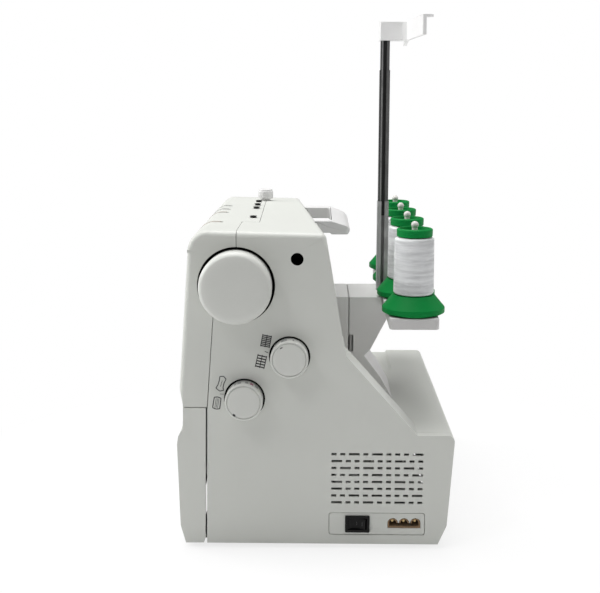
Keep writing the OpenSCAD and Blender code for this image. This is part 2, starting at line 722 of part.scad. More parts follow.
frame_foot = foot_h + 9 + fit;
frame_right = timing_x - 12;
module frame() color("silver") placed() difference() {
    union() {
        // Arm: rear web with a flange along its top and bottom
        block(lug_left_x - 6, frame_right, plate_rear_y, plate_front_y, lug_low_z + 1, arm_top_z);
        for (z = [head_h + wall + fit, arm_top_z - 5])
            block(column_x + 12, frame_right, plate_rear_y - 8, plate_front_y + 4, z, z + 5);
        // Bearing walls
        for (x = bearing_x) {
            block(x - 3, x + 3, plate_rear_y - 34, plate_front_y, shaft_z - 26, shaft_z + 24);
            rod_x(x - 9, x + 9, wheel_y, shaft_z, 13);
        }
        // Column: two ribbed walls that stand on the deck
        for (x = [column_x + 14, frame_right - 6]) {
            along_x(x, x + 6) polygon([[deck_front_y, deck_z], [deck_rear_y, deck_z],
                [deck_rear_y - 18, head_h + 22], [plate_front_y, arm_top_z - 20],
                [plate_rear_y - 8, arm_top_z - 20], [plate_rear_y - 8, deck_z + 30]]);
        }
        // Bed deck and its legs
        block(left_x + 8, frame_right, deck_front_y, deck_rear_y, deck_z, deck_z + deck_t);
        block(left_x + 8, frame_right, deck_front_y, deck_front_y + 6, deck_z - 60, deck_z);
        for (x = [left_x + 8, column_x + 14, frame_right - 6]) block(x, x + 6, deck_front_y, deck_rear_y,
            frame_foot, deck_z + eps);
        // Needle plate posts
        for (x = plate_screw_xs) rod_z(x, plate_screw_y, deck_z + deck_t - eps, bed_h - plate_t, 5);
        // Bushes of the needle bar and the presser bar
        block(lug_left_x, lug_right_x, needle_y - 8, plate_rear_y + eps, lug_low_z, lug_low_z + low_lug_h);
        block(lug_left_x, lug_right_x, needle_y - 8, plate_rear_y + eps, lug_high_z, lug_high_z + high_lug_h);
        // Bearings of the looper shaft
        for (x = looper_bearing_x) rod_x(x - 8, x + 8, looper_shaft_y, looper_shaft_z, 11);
        for (x = looper_bearing_x) block(x - 3, x + 3, looper_shaft_y - 6, looper_shaft_y + 6,
            looper_shaft_z, deck_z);
        // Bosses of the two loopers
        rod_y(lower_looper_x, needle_y + 14, needle_y + 30, lower_looper_z, 8);
        rod_y(upper_looper_x, needle_y + 4, needle_y + 30, upper_looper_z, 8);
        block(lower_looper_x - 8, upper_looper_x + 8, deck_front_y, deck_front_y + 6, frame_foot,
            deck_z - 50);
        // Guide of the feed dogs
        block(feed_x - 6, feed_x + 6, needle_y + 24, needle_y + 32, deck_z + deck_t - eps,
            bed_h - plate_t - 1);
        // Ears of the upper knife's hinge rod
        for (s = [-1, 1]) block(knife_x + s * 7 - 2, knife_x + s * 7 + 2, deck_front_y, needle_y + 34,
            deck_z - 12, deck_z + eps);
    }
    for (x = bearing_x) rod_x(x - 20, x + 20, wheel_y, shaft_z, shaft_r + 2.6);
    for (x = looper_bearing_x) rod_x(x - 20, x + 20, looper_shaft_y, looper_shaft_z, 5 + run_gap);
    for (x = [column_x + 14, frame_right - 6]) rod_x(x - cut, x + 6 + cut, looper_shaft_y, looper_shaft_z, 7);
    rod_z(needle_x, needle_y, lug_low_z - cut, arm_top_z, needle_bar_r + run_gap);
    rod_z(needle_x, presser_y, lug_low_z - cut, arm_top_z, presser_bar_r + run_gap);
    rod_y(needle_x, plate_rear_y - cut, plate_front_y + cut, lever_z, 3 + run_gap);
    rod_y(lower_looper_x, needle_y, needle_y + 40, lower_looper_z, 4 + run_gap);
    rod_y(upper_looper_x, needle_y, needle_y + 40, upper_looper_z, 4 + run_gap);
    rod_x(knife_x - 12, knife_x + 12, knife_pivot_y, knife_pivot_z, 2.5 + run_gap);
    block(feed_x - 2 - fit, feed_x + 2 + fit, needle_y + 8, needle_y + 48, feed_z - 3 - fit,
        feed_z + 3 + fit);
    // Room for the knife's arm in the deck
    block(knife_x - 5, knife_x + 5, needle_y + 16, needle_y + 38, deck_z - 14, deck_z + deck_t + cut);
    // Openings that lighten the arm's web
    for (k = [0:2]) block(column_x + 35 + 40 * k, column_x + 63 + 40 * k, plate_rear_y - cut,
        plate_front_y + cut,
        head_h + 22, arm_top_z - 20);
}
bearing_x = [needle_x + 38, frame_right - 14];
looper_bearing_x = [left_x + 36, frame_right - 30];
lower_looper_x = needle_x - 16;
lower_looper_z = foot_h + 36;
upper_looper_x = needle_x + 34;
upper_looper_z = foot_h + 56;
feed_x = needle_x - 9;
feed_z = bed_h - 10;
knife_x = needle_x + 9.3;
knife_pivot_y = needle_y + 27;
knife_pivot_z = deck_z - 5;

module shaft_bushes() color("darkkhaki") placed() for (x = bearing_x) difference() {
    rod_x(x - 9, x + 9, wheel_y, shaft_z, shaft_r + 2.6);
    rod_x(x - 10, x + 10, wheel_y, shaft_z, shaft_r + run_gap);
}

module motor() color("darkgray") placed() difference() {
    union() {
        rod_x(drive_x - 78, drive_x - 14, motor_y, motor_z, 27);
        rod_x(drive_x - 84, drive_x - 78 + eps, motor_y, motor_z, 12);
        rod_x(drive_x - 14 - eps, drive_x - 9, motor_y, motor_z, 12);
        block(drive_x - 70, drive_x - 20, motor_y - 20, motor_y + 20, frame_foot, motor_z - 20);
    }
    rod_x(drive_x - 90, drive_x, motor_y, motor_z, 4 + run_gap);
    // Cooling slots in the upper half of the case
    for (a = [-75:30:75]) translate([0, motor_y, motor_z]) rotate([a, 0, 0])
        block(drive_x - 66, drive_x - 56, -1.5, 1.5, 22, 30);
}

module motor_pulley() color("dimgray") placed() {
    rod_x(drive_x - 88, drive_x + drive_w / 2 + 1, motor_y, motor_z, 4);
    rod_x(drive_x - drive_w / 2 - 1, drive_x + drive_w / 2 + 1, motor_y, motor_z, motor_pulley_r);
    for (s = [-1, 1]) rod_x(drive_x + s * (drive_w / 2 + 1.5) - 0.5, drive_x + s * (drive_w / 2 + 1.5) + 0.5,
        motor_y, motor_z, motor_pulley_r + 3);
}

// Belt round two pulleys whose axes are p and q, in the Y-Z plane
module belt_loop(p, rp, q, rq, t) difference() {
    hull() {
        translate(p) circle(rp + t, $fn = 48);
        translate(q) circle(rq + t, $fn = 48);
    }
    hull() {
        translate(p) circle(rp, $fn = 48);
        translate(q) circle(rq, $fn = 48);
    }
}

module drive_belt() color("black") placed() along_x(drive_x - drive_w / 2, drive_x + drive_w / 2)
    belt_loop([wheel_y, shaft_z], drive_pulley_r + fit, [motor_y, motor_z], motor_pulley_r + fit, belt_t);

module timing_belt() color("black") placed() along_x(timing_x - timing_w / 2, timing_x + timing_w / 2)
    belt_loop([wheel_y, shaft_z], timing_pulley_r + fit, [looper_shaft_y, looper_shaft_z],
        timing_pulley_r + fit, belt_t);

// Flanged pulley on an X axis
module pulley(x, w, y, z, r) {
    rod_x(x - w / 2 - 0.7, x + w / 2 + 0.7, y, z, r);
    for (s = [-1, 1]) rod_x(x + s * (w / 2 + 1.2) - 0.6, x + s * (w / 2 + 1.2) + 0.6, y, z, r + 3);
}

module main_shaft() color("silver") placed() {
    rod_x(crank_x - 2, right_x - 3, wheel_y, shaft_z, shaft_r);
    pulley(timing_x, timing_w, wheel_y, shaft_z, timing_pulley_r);
    pulley(drive_x, drive_w, wheel_y, shaft_z, drive_pulley_r);
    // Crank disc with its counterweight and pin
    difference() {
        union() {
            rod_x(crank_x - 4, crank_x + 4, wheel_y, shaft_z, 11);
            rod_x(crank_x - 4, crank_x + 2, wheel_y, shaft_z + crank_r, 5.5);
            rod_x(crank_x - 4, crank_x + 2, wheel_y, shaft_z - 6, 12);
        }
        block(crank_x - 5, crank_x + 5, wheel_y - 20, wheel_y + 20, shaft_z - 40, shaft_z - 16);
    }
    rod_x(crank_x - 10.1, crank_x - 4 + eps, wheel_y, shaft_z + crank_r, 3);
}

module connecting_rod() color("silver") placed() difference() {
    union() {
        rod_x(crank_x - 9.6, crank_x - 4.6, wheel_y, shaft_z + crank_r, 6);
        rod_x(crank_x - 9.6, crank_x - 4.6, wheel_y, collar_z, 5.4);
        block(crank_x - 9, crank_x - 5.2, wheel_y - 2.5, wheel_y + 2.5, collar_z, shaft_z + crank_r);
    }
    rod_x(crank_x - 11, crank_x, wheel_y, shaft_z + crank_r, 3 + run_gap);
    rod_x(crank_x - 11, crank_x, wheel_y, collar_z, 2.5);
}

module looper_shaft() color("silver") placed() {
    rod_x(left_x + 22, timing_x + 10, looper_shaft_y, looper_shaft_z, 5);
    pulley(timing_x, timing_w, looper_shaft_y, looper_shaft_z, timing_pulley_r);
    // Eccentrics that drive the feed, the loopers and the knife
    for (x = [column_x + 63:14:column_x + 91]) rod_x(x, x + 7, looper_shaft_y + 2, looper_shaft_z, 10);
}

// ---- Sewing parts ----

module needle_bar() color("silver") placed() {
    rod_z(needle_x, needle_y, head_h - 18, shaft_z + 39.4, needle_bar_r);
    difference() {
        rod_z(needle_x, needle_y, collar_z - 4, collar_z + 4, 5.6);
        rod_y(needle_x, needle_y - 8, needle_y - 4, collar_z, 1.2);
    }
    difference() {
        union() {
            rod_z(needle_x, needle_y, holder_z, holder_z + 7, 5.5);
            block(needle_x - 4.5, needle_x + 4.5, needle_y - 5.5, needle_y, holder_z, holder_z + 7);
        }
        for (s = [-1, 1]) rod_y(needle_x + s * 2.2, needle_y - 7, needle_y - 4, holder_z + 3.5, 1);
    }
    for (s = [-1, 1]) translate([needle_x + s * 2.2, needle_y, 0]) {
        rod_z(0, 0, holder_z - 21, holder_z + eps, 0.9);
        translate([0, 0, holder_z - 26]) cylinder(h = 5 + eps, r1 = 0.15, r2 = 0.9, $fn = 24);
    }
}
holder_z = head_h - 23;

module presser_bar() color("silver") placed() {
    rod_z(needle_x, presser_y, bed_h + 18, body_h - 14, presser_bar_r);
    rod_z(needle_x, presser_y, finger_z, finger_z + 6, 6);
    block(needle_x - 3, needle_x + 3, presser_y, plate_rear_y - 1, finger_z, finger_z + 5);
}
finger_z = lever_z + lever_hub_r + fit;

module presser_foot() color("silver") placed() difference() {
    union() {
        block(needle_x - 15, needle_x + 6.6, needle_y - 22, needle_y + 16, bed_h + 1, bed_h + 3);
        along_x(needle_x - 15, needle_x + 6.6) polygon([[needle_y - 22, bed_h + 1], [needle_y - 22,
            bed_h + 3],
            [needle_y - 28, bed_h + 6], [needle_y - 29, bed_h + 5]]);
        // Ankle that clamps on the presser bar
        block(needle_x - 5, needle_x + 5, presser_y - 8, presser_y + 6, bed_h + 3 - eps, bed_h + 30);
        block(needle_x - 8, needle_x + 5, presser_y - 12, presser_y - 4, bed_h + 3 - eps, bed_h + 10);
    }
    rod_z(needle_x, presser_y, bed_h + 18 - fit, bed_h + 40, presser_bar_r + run_gap);
    block(needle_x - 4.5, needle_x + 4.5, needle_y - 2.5, needle_y + 2.5, bed_h, bed_h + 4);
    // Slot for the edge of the fabric beside the stitch fingers
    block(needle_x + 5, needle_x + 7, needle_y - 14, needle_y + 4, bed_h, bed_h + 4);
}

module presser_lever() color("lightgray") placed() {
    rod_y(needle_x, plate_rear_y - 7, plate_rear_y - fit, lever_z, lever_hub_r);
    // Lifting lobe
    rod_y(needle_x - 7.5, plate_rear_y - 7, plate_rear_y - 2, lever_z, 3.5);
    block(needle_x - 7.5, needle_x, plate_rear_y - 7, plate_rear_y - 2, lever_z - 3.4, lever_z + 3.4);
    rod_y(needle_x, plate_rear_y - 1, lever_back_y + 1, lever_z, 3);
    // Handle behind the head
    rod_y(needle_x, lever_back_y, lever_back_y + 5, lever_z, 8);
    along_y(lever_back_y, lever_back_y + 5) polygon([[needle_x - 6, lever_z], [needle_x + 6, lever_z],
        [needle_x + 4.5, lever_z - 34], [needle_x + 6, lever_z - 41], [needle_x - 1, lever_z - 44],
        [needle_x - 5, lever_z - 36]]);
}
lever_back_y = rear_wall_y(needle_x, lever_z - 46) + 1.4;

module presser_spring() color("silver") placed() translate([needle_x, presser_y, finger_z + 6 + fit])
    linear_extrude(height = lug_high_z - finger_z - 6 - 2 * fit, twist = -360 * 6, slices = 108)
        translate([5, 0]) circle(0.6, $fn = 8);

module needle_plate() color("silver") placed() difference() {
    along_z(bed_h - plate_t, bed_h) polygon([[needle_x - 28 + seam, front_y + 12 + seam],
        [needle_x + 6, front_y + 12 + seam], [needle_x + 6, front_y + 54], [needle_x + 27 - seam,
            front_y + 54],
        [needle_x + 27 - seam, front_y + 84 - seam], [needle_x - 28 + seam, front_y + 84 - seam]]);
    block(needle_x - 4, needle_x + 4, needle_y - 1.8, needle_y + 1.8, bed_h - 5, bed_h + cut);
    // Slots of the feed dogs
    for (s = [0, 1]) for (d = feed_rows) block(feed_x + d - 1.3, feed_x + d + 1.3,
        feed_y0[s] - 3, feed_y1[s] + 3, bed_h - 5, bed_h + cut);
    for (x = plate_screw_xs) rod_z(x, plate_screw_y, bed_h - 5, bed_h + cut, 1.8);
}
plate_screw_xs = [needle_x - 22, needle_x + 21];
plate_screw_y = front_y + 74;
feed_rows = [-2.6, 1.8];
feed_y0 = [needle_y - 22, needle_y + 6];
feed_y1 = [needle_y - 6, needle_y + 21];

module feed_dogs() color("silver") placed() {
    // Main and differential rows: saw teeth on carriers over one sliding bar
    for (s = [0, 1]) {
        for (d = feed_rows) along_x(feed_x + d - 0.9, feed_x + d + 0.9) polygon(concat(
            [[feed_y0[s], bed_h - 6]],
            [for (k = [0:7], h = [0, 1]) [feed_y0[s] + (k + (h == 0 ? 0 : 0.55))
                * (feed_y1[s] - feed_y0[s]) / 8,
                bed_h - 0.5 + h * 1.1]],
            [[feed_y1[s], bed_h - 0.5], [feed_y1[s], bed_h - 6]]));
        block(feed_x - 3.5, feed_x + 2.7, feed_y0[s], feed_y1[s], bed_h - 8, bed_h - 5);
    }
    block(feed_x - 2, feed_x + 2, needle_y - 22, needle_y + 42, feed_z - 3, feed_z + 3);
}

module lower_knife() color("silver") placed() {
    along_x(needle_x + 6.6, needle_x + 8) polygon([[knife_y0, bed_h - 22], [knife_y1, bed_h - 22],
        [knife_y1, bed_h + 0.2], [knife_y0, bed_h - 1.2]]);
    block(needle_x + 5.2, needle_x + 6.6 + eps, knife_y0, knife_y1, bed_h - 26, bed_h - 8);
    block(needle_x + 2, needle_x + 6.6, knife_y0, deck_front_y - 0.2, bed_h - 36, bed_h - 26 + eps);
}

knife_y0 = needle_y - 26;
knife_y1 = needle_y - 8;

module upper_knife() color("silver") placed() difference() {
    union() {
        // Blade
        along_x(needle_x + 8.3, needle_x + 9.8) polygon([[knife_y0, bed_h - 24], [knife_y1, bed_h - 24],
            [knife_y1, bed_h + 6], [knife_y0, bed_h + 3.5]]);
        // Holder and arm back to the hinge rod
        block(needle_x + 8.3, needle_x + 11.3, knife_y0, knife_pivot_y, knife_pivot_z - 3, knife_pivot_z + 3);
        block(needle_x + 9.8 - eps, needle_x + 12, knife_y0 + 1, knife_y1 - 1, knife_pivot_z - 3, bed_h - 12);
        rod_x(knife_x - 4.4, knife_x + 4.4, knife_pivot_y, knife_pivot_z, 5.5);
        rod_x(knife_x - 9, knife_x + 9, knife_pivot_y, knife_pivot_z, 2.5);
    }
    rod_x(needle_x, needle_x + 20, knife_y0 + 9, bed_h - 16, 1.5);
}

module lower_looper() color("silver") placed() {
    rod_y(lower_looper_x, needle_y + 6, needle_y + 34, lower_looper_z, 4);
    rod_y(lower_looper_x, needle_y + 6, needle_y + 13, lower_looper_z, 7);
    along_y(needle_y + 7, needle_y + 11) polygon([[lower_looper_x - 3.5, lower_looper_z],
        [lower_looper_x + 3.5, lower_looper_z],
        [lower_looper_x + 2.5, bed_h - 30], [lower_looper_x + 16, bed_h - 18], [lower_looper_x + 2,
            bed_h - 19],
        [lower_looper_x - 2.5, bed_h - 24]]);
}

module upper_looper() color("silver") placed() {
    rod_y(upper_looper_x, needle_y - 33, needle_y + 34, upper_looper_z, 4);
    rod_y(upper_looper_x, needle_y - 33.6, needle_y - 27, upper_looper_z, 7);
    along_y(needle_y - 33, needle_y - 29.4) polygon([[upper_looper_x - 3.5, upper_looper_z],
        [upper_looper_x + 3.5, upper_looper_z],
        [upper_looper_x + 3, upper_looper_z + 36], [upper_looper_x - 4, upper_looper_z + 56],
        [upper_looper_x - 20, bed_h - 5.5], [upper_looper_x - 10, upper_looper_z + 55],
        [upper_looper_x - 4, upper_looper_z + 34]]);
}

module lamp() color("ivory") placed() {
    rod_z(lamp_x, lamp_y, head_h + 0.5, head_h + wall + 2, 9.2);
    rod_z(lamp_x, lamp_y, head_h + wall + 2 - eps, head_h + 18, 6);
    translate([lamp_x, lamp_y, head_h - 1]) cylinder(h = 1.5 + eps, r1 = 6.5, r2 = 9.2, $fn = fine);
}

// ---- Side controls ----

module handwheel() color("whitesmoke") placed() translate([right_x - wheel_pocket + 3, wheel_y, shaft_z])
    rotate([0, 90, 0]) let (h = wheel_out + wheel_pocket - 3) difference() {
        rotate_extrude($fn = fine) polygon(concat(
            [[0, 0], [12, 0], [12, 6], [wheel_r - 4, 6], [wheel_r - 4, 1], [wheel_r - 0.5, 1]],
            [[wheel_r, h - wheel_edge_r - 1]], arc([wheel_r - wheel_edge_r, h - wheel_edge_r - 1],
                wheel_edge_r, 5, 62, 8),
            [for (i = [1:6]) let (r = (wheel_r - 3) * (1 - i / 6)) [r, h - 1.6 * pow(r / (wheel_r - 3),
                2)]]));
        translate([0, 0, -cut]) cylinder(h = 13, r = shaft_r, $fn = fine);
    }

wheel_edge_r = 7;

// Setting knob: rim with a chamfer, a groove in the face and a pointer dot
module setting_knob(y, z) translate([right_x - knob_pocket + 0.5, y, z]) rotate([0, 90, 0])
    let (h = knob_out + knob_pocket - 0.5) {
        difference() {
            rotate_extrude($fn = fine) polygon([[0, 0], [knob_r - 0.3, 0], [knob_r, h - 1.8],
                [knob_r - 1.2, h],
                [knob_r - 1.9, h], [knob_r - 2.3, h - 0.8], [knob_r - 2.8, h - 0.1], [6, h + 0.4], [0,
                    h + 0.5]]);
            translate([-10.5, 0, h - 0.6]) cylinder(h = 2, r = 1.2, $fn = 24);
        }
        translate([0, 0, -26]) cylinder(h = 26 + eps, r = 4, $fn = fine);
    }

module stitch_length_knob() color("whitesmoke") placed() setting_knob(stitch_y, stitch_z);
module diff_feed_knob() color("whitesmoke") placed() setting_knob(diff_y, diff_z);

module pressure_knob() color("whitesmoke") placed() translate([needle_x, presser_y, body_h + 0.9])
    difference() {
    union() {
        cylinder(h = pressure_knob_h - 1.2, r = pressure_knob_r - 0.5, $fn = fine);
        translate([0, 0, pressure_knob_h - 1.2 - eps])
            cylinder(h = 1.2, r1 = pressure_knob_r - 0.5, r2 = pressure_knob_r - 1.5, $fn = fine);
        for (a = [0:15:345]) rotate([0, 0, a]) translate([pressure_knob_r - 0.8, -0.6, 0])
            cube([0.6, 1.2, pressure_knob_h - 1.4]);
        translate([0, 0, -9]) cylinder(h = 9 + eps, r = 5.2, $fn = fine);
    }
    translate([0, 0, -11]) cylinder(h = 9, r = presser_bar_r + 0.4, $fn = fine);
    // Screwdriver slot
    translate([-3, -0.6, pressure_knob_h - 0.8]) cube([6, 1.2, 2]);
}

module tension_dial(i) color("whitesmoke") placed() difference() {
    union() {
        rod_x(slot_x[i] - dial_w / 2, slot_x[i] + dial_w / 2, dial_y, dial_z, dial_r - 0.5);
        // Finger grips round the rim
        for (a = [0:15:345]) translate([slot_x[i] - dial_w / 2, dial_y, dial_z]) rotate([a, 0, 0])
            translate([0, -0.8, dial_r - 1]) cube([dial_w / 3, 1.6, 1]);
    }
    rod_x(slot_x[i] - dial_w, slot_x[i] + dial_w, dial_y, dial_z, 2.5 + run_gap);
}
module tension_dial_1() tension_dial(0);
module tension_dial_2() tension_dial(1);
module tension_dial_3() tension_dial(2);
module tension_dial_4() tension_dial(3);

// ---- Power panel ----

module power_panel() color("gainsboro") placed() difference() {
    union() {
        along_x(right_x - wall - eps, right_x - 0.3) round_rect(panel_p + [seam, seam], panel_q - [seam, seam],
            2.2);
        along_x(right_x - wall - 2, right_x - wall) round_rect(panel_p - [2, 2], panel_q + [2, 2], 3);
    }
    along_x(right_x - 10, right_x + cut) translate(switch_p + [1, 1]) square(switch_q - switch_p - [2, 2]);
    along_x(right_x - 10, right_x + cut) inlet_shape(fit);
}

module switch_housing() color("black") placed() let (c = (switch_p + switch_q) / 2) difference() {
    union() {
        along_x(right_x - 0.3, right_x + 1.2) round_rect(switch_p, switch_q, 1);
        along_x(right_x - 18, right_x - 0.3 + eps) translate(switch_p + [1 + fit, 1 + fit])
            square(switch_q - switch_p - [2 + 2 * fit, 2 + 2 * fit]);
        for (s = [-1, 1]) block(right_x - 25, right_x - 18 + eps, c.x + s * 5 - 2, c.x + s * 5 + 2,
            c.y - 0.4, c.y + 0.4);
    }
    along_x(right_x - 9, right_x + 3) translate(switch_p + [2.6, 2.6]) square(switch_q - switch_p - [5.2,
        5.2]);
    rod_z(right_x - 3.5, c.x, switch_p.y + 1, switch_q.y - 1, rocker_pin_r + run_gap);
}
rocker_pin_r = 1;

// The rocker is symmetric about its pivot and rests with its rear half pressed
module switch_rocker() color("black") placed() let (c = (switch_p + switch_q) / 2,
    l = (switch_q - switch_p).x / 2 - 3.1)
    translate([right_x - 3.5, c.x, 0]) rotate([0, 0, -rocker_tilt]) {
        rod_z(0, 0, switch_p.y + 1.6, switch_q.y - 1.6, rocker_pin_r);
        along_z(switch_p.y + 3, switch_q.y - 3) polygon(concat([[-3, -4], [-3, 4], [0.6, l], [3.6, l]],
            arc([16, 0], 13.4, 145, 215, 6), [[3.6, -l], [0.6, -l]]));
    }
rocker_tilt = 7;

module inlet_socket() color("saddlebrown") placed() {
    difference() {
        along_x(right_x - inlet_depth - 3, right_x - 0.5) inlet_shape(0);
        along_x(right_x - inlet_depth, right_x + cut) inlet_shape(-1.1);
    }
    for (i = [-1:1]) rod_x(right_x - inlet_depth - eps, right_x - 6, inlet_mid_y + i * inlet_pitch,
        inlet_z, 1.2);
}

// ---- Thread stand ----

// The bracket stands on the shelf and reaches up beside the column's rear wall
function arm_outline(t) = [[arm_foot_y0 + t, shelf_h + fit + t], [arm_foot_y0 + t, arm_h - t],
    [arm_rear_y - t, arm_h - t], [arm_rear_y - t, tray_low - fit - t],
    [rear_y - 48 - t * 1.6, tray_low - fit - t], [rear_y - 70.5 - t * 1.2, shelf_h + 49.7 + t * 0.3],
    [rear_y - 76.3 - t * 1.3, shelf_h + 43.6], [rear_y - 59.9 - t * 0.8, shelf_h + 21.8 - t * 0.5],
    [rear_y - 47.9 - t * 1.7, shelf_h + fit + t]];
arm_foot_y0 = rear_y - 154;
module stand_arm() color("lightgray") placed() difference() {
    union() {
        difference() {
            along_x(arm_left_x, arm_right_x) polygon(arm_outline(0));
            along_x(arm_left_x + wall, arm_right_x - wall) polygon(arm_outline(wall));
        }
        // Socket of the pole, behind the slope
        intersection() {
            block(-pole_w / 2 - 2.5, pole_w / 2 + 2.5, pole_y - pole_d / 2 - 2.5, rear_y,
                pole_foot_z - 4, arm_h);
            along_x(arm_left_x, arm_right_x) polygon(arm_outline(0));
        }
        // Inner wall at the seam
        block(arm_left_x + wall, arm_right_x - wall, arm_split_y + 1, arm_split_y + 3.4, shelf_h + fit,
            arm_h - 1);
    }
    rear_block(-fit);
    // Groove of the seam across the top and down both sides, and the slot below it
    difference() {
        block(arm_left_x - cut, arm_right_x + cut, arm_split_y - 0.5, arm_split_y + 0.5, slot_top,
            arm_h + cut);
        block(arm_left_x + 0.8, arm_right_x - 0.8, rear_y - deep, rear_y, 0, arm_h - 0.8);
    }
    for (x = [arm_left_x - cut, arm_right_x - wall - cut]) block(x, x + wall + 2 * cut,
        arm_split_y - 0.4, arm_split_y + 4.3, slot_top - 17.5, slot_top);
    block(-pole_w / 2 - 0.1, pole_w / 2 + 0.1, pole_y - pole_d / 2 - 0.1, pole_y + pole_d / 2 + 0.1,
        pole_foot_z - 0.3, arm_h + cut);
}
slot_top = shelf_h + 64.8;

module spool_tray() color("whitesmoke") placed() difference() {
    union() {
        difference() {
            along_z(tray_low, tray_top) tray_shape(0);
            along_z(tray_low - cut, tray_top - 2.5) tray_shape(2.2);
        }
        // Ribs and spool pin bosses under the top
        intersection() {
            union() {
                for (k = [-2.5:2.5]) block(42 * k - 0.9, 42 * k + 0.9, tray_front_y, tray_rear_y,
                    tray_low + 3, tray_top - 1);
                block(-tray_w / 2, tray_w / 2, spool_y - 0.9, spool_y + 0.9, tray_low + 3, tray_top - 1);
                for (i = [0:3]) rod_z(spool_x(i), spool_y, tray_low + 1, tray_top - 1, 6);
            }
            along_z(tray_low, tray_top) tray_shape(0.5);
        }
    }
    for (i = [0:3]) rod_z(spool_x(i), spool_y, tray_low, tray_top + cut, spool_pin_r);
    // Notch round the pole
    block(-pole_w / 2 - 3.2, pole_w / 2 + 3.2, tray_front_y - cut, pole_y + pole_d / 2 + 0.4,
        tray_low - cut, tray_top + cut);
}
function spool_x(i) = (i - 1.5) * spool_pitch;
module tray_shape(t) {
    round_rect([-tray_w / 2 + t, tray_front_y + t], [tray_w / 2 - t, tray_rear_y - t], 4 - t);
    translate([-tray_w / 2 + 20, tray_front_y + t]) square([tray_w - 40, 10]);
}

module spool_pins() color("ivory") placed() for (i = [0:3]) {
    rod_z(spool_x(i), spool_y, tray_low + 1, spool_z + spool_h + 2, spool_pin_r);
    translate([spool_x(i), spool_y, spool_z + spool_h + 2.8]) sphere(r = 3.4, $fn = 32);
}

// Telescopic pole section: a channel of folded sheet, open towards the right
module pole_channel(d, w, t) difference() {
    square([w, d], center = true);
    square([w - 2 * t, d - 2 * t], center = true);
    translate([0, -1.6]) square([w, 3.2]);
}
function pole_step(k) = 2 * k * (pole_t + pole_gap);
module pole_section(k, z0, z1) translate([0, pole_y, z0]) linear_extrude(z1 - z0)
    pole_channel(pole_d - pole_step(k), pole_w - pole_step(k), pole_t);
module pole_outer() color("gray") placed() pole_section(0, pole_foot_z, pole_joint_1);
module pole_middle() color("gray") placed() pole_section(1, pole_joint_1 - pole_lap, pole_joint_2);
module pole_top() color("gray") placed() pole_section(2, pole_joint_2 - pole_lap, guide_top - 3);

// Thread guide: a hub on the pole and two swept wings with an eyelet above each spool
wing_t = 3.6;
function wing_y(x) = pole_y + 19.8 + (x - 9) * 6.1 / (guide_reach - 9);
module guide_half() polygon([[-1, pole_y - 6], [8, pole_y - 6], [9, pole_y - 5], [9, pole_y + 16],
    [11.5, wing_y(11.5)], [guide_reach - 0.6, wing_y(guide_reach)], [guide_reach, wing_y(guide_reach) + 0.6],
    [guide_reach, wing_y(guide_reach) + wing_t], [9, wing_y(9) + wing_t], [-1, wing_y(9) + wing_t - 0.3]]);
module thread_guide() color("whitesmoke") placed() difference() {
    union() {
        for (m = [0, 1]) mirror([m, 0, 0]) along_z(guide_top - guide_h, guide_top) guide_half();
        // Eyelet lugs behind the wings
        for (i = [0:3]) rod_z(eyelet_x(i), eyelet_y(i), guide_top - 2, guide_top, 5);
    }
    translate([0, pole_y, guide_top - guide_h - cut]) linear_extrude(guide_h - 2 + cut) square(
        [pole_w - pole_step(2) + 0.1, pole_d - pole_step(2) + 0.1], center = true);
    for (i = [0:3]) {
        rod_z(eyelet_x(i), eyelet_y(i), guide_top - 3, guide_top + cut, 1.8);
        block(eyelet_x(i) - 0.6, eyelet_x(i) + 0.6, eyelet_y(i), eyelet_y(i) + 20, guide_top - 3,
            guide_top + cut);
    }
}
function eyelet_x(i) = sign(i - 1.5) * (abs(i - 1.5) > 1 ? guide_reach - 7 : guide_reach / 3);
function eyelet_y(i) = wing_y(abs(eyelet_x(i))) + wing_t + 2.2;

// Green spool: foot flare, core tube and recessed top rim
module spool(i) color("seagreen") placed() translate([spool_x(i), spool_y, spool_z])
    rotate_extrude($fn = fine) polygon([
    [bore_r, 0], [flare_r - 2.7, 0], [flare_r, 1.5], [flare_r, 5.8], [thread_r + 0.7, flare_top - 0.2],
    [thread_r - 3, flare_top], [12, flare_top + 0.5], [12, flare_top + thread_len],
    [rim_r, flare_top + 0.2 + thread_len], [rim_r + 0.2, spool_h - 1], [rim_r - 1, spool_h],
    [rim_r - 2.4, spool_h], [rim_r - 3, spool_h - 3.4], [bore_r, spool_h - 3.4]]);
module spool_1() spool(0);
module spool_2() spool(1);
module spool_3() spool(2);
module spool_4() spool(3);

// Wound thread round the spool's core
module thread(i) color("white") placed() translate([spool_x(i), spool_y, spool_z]) rotate_extrude($fn = fine)
    polygon(concat([[12.05, flare_top + 0.6], [thread_r - 2, flare_top + 0.6]],
        arc([thread_r - 1.5, flare_top + 2.4], 1.5, -60, 0, 3),
        arc([thread_r - 2.7, flare_top + thread_len - 3], 2, 0, 80, 4), [[12.05,
            flare_top + thread_len - 0.3]]));
module thread_1() thread(0);
module thread_2() thread(1);
module thread_3() thread(2);
module thread_4() thread(3);

module cover_screws() color("silver") placed() {
    // Screw at the bottom of the hole near the top of the right side
    rod_x(right_x - spy_depth + 4, right_x - spy_depth + 6, spy_y, spy_z, 3.6);
    rod_x(right_x - spy_depth - 6, right_x - spy_depth + 4 + eps, spy_y, spy_z, 1.9);
    // Needle plate screws
    for (x = plate_screw_xs) {
        rod_z(x, plate_screw_y, bed_h, bed_h + 1.2, 3.2);
        rod_z(x, plate_screw_y, bed_h - plate_t, bed_h + eps, 1.6);
    }
}

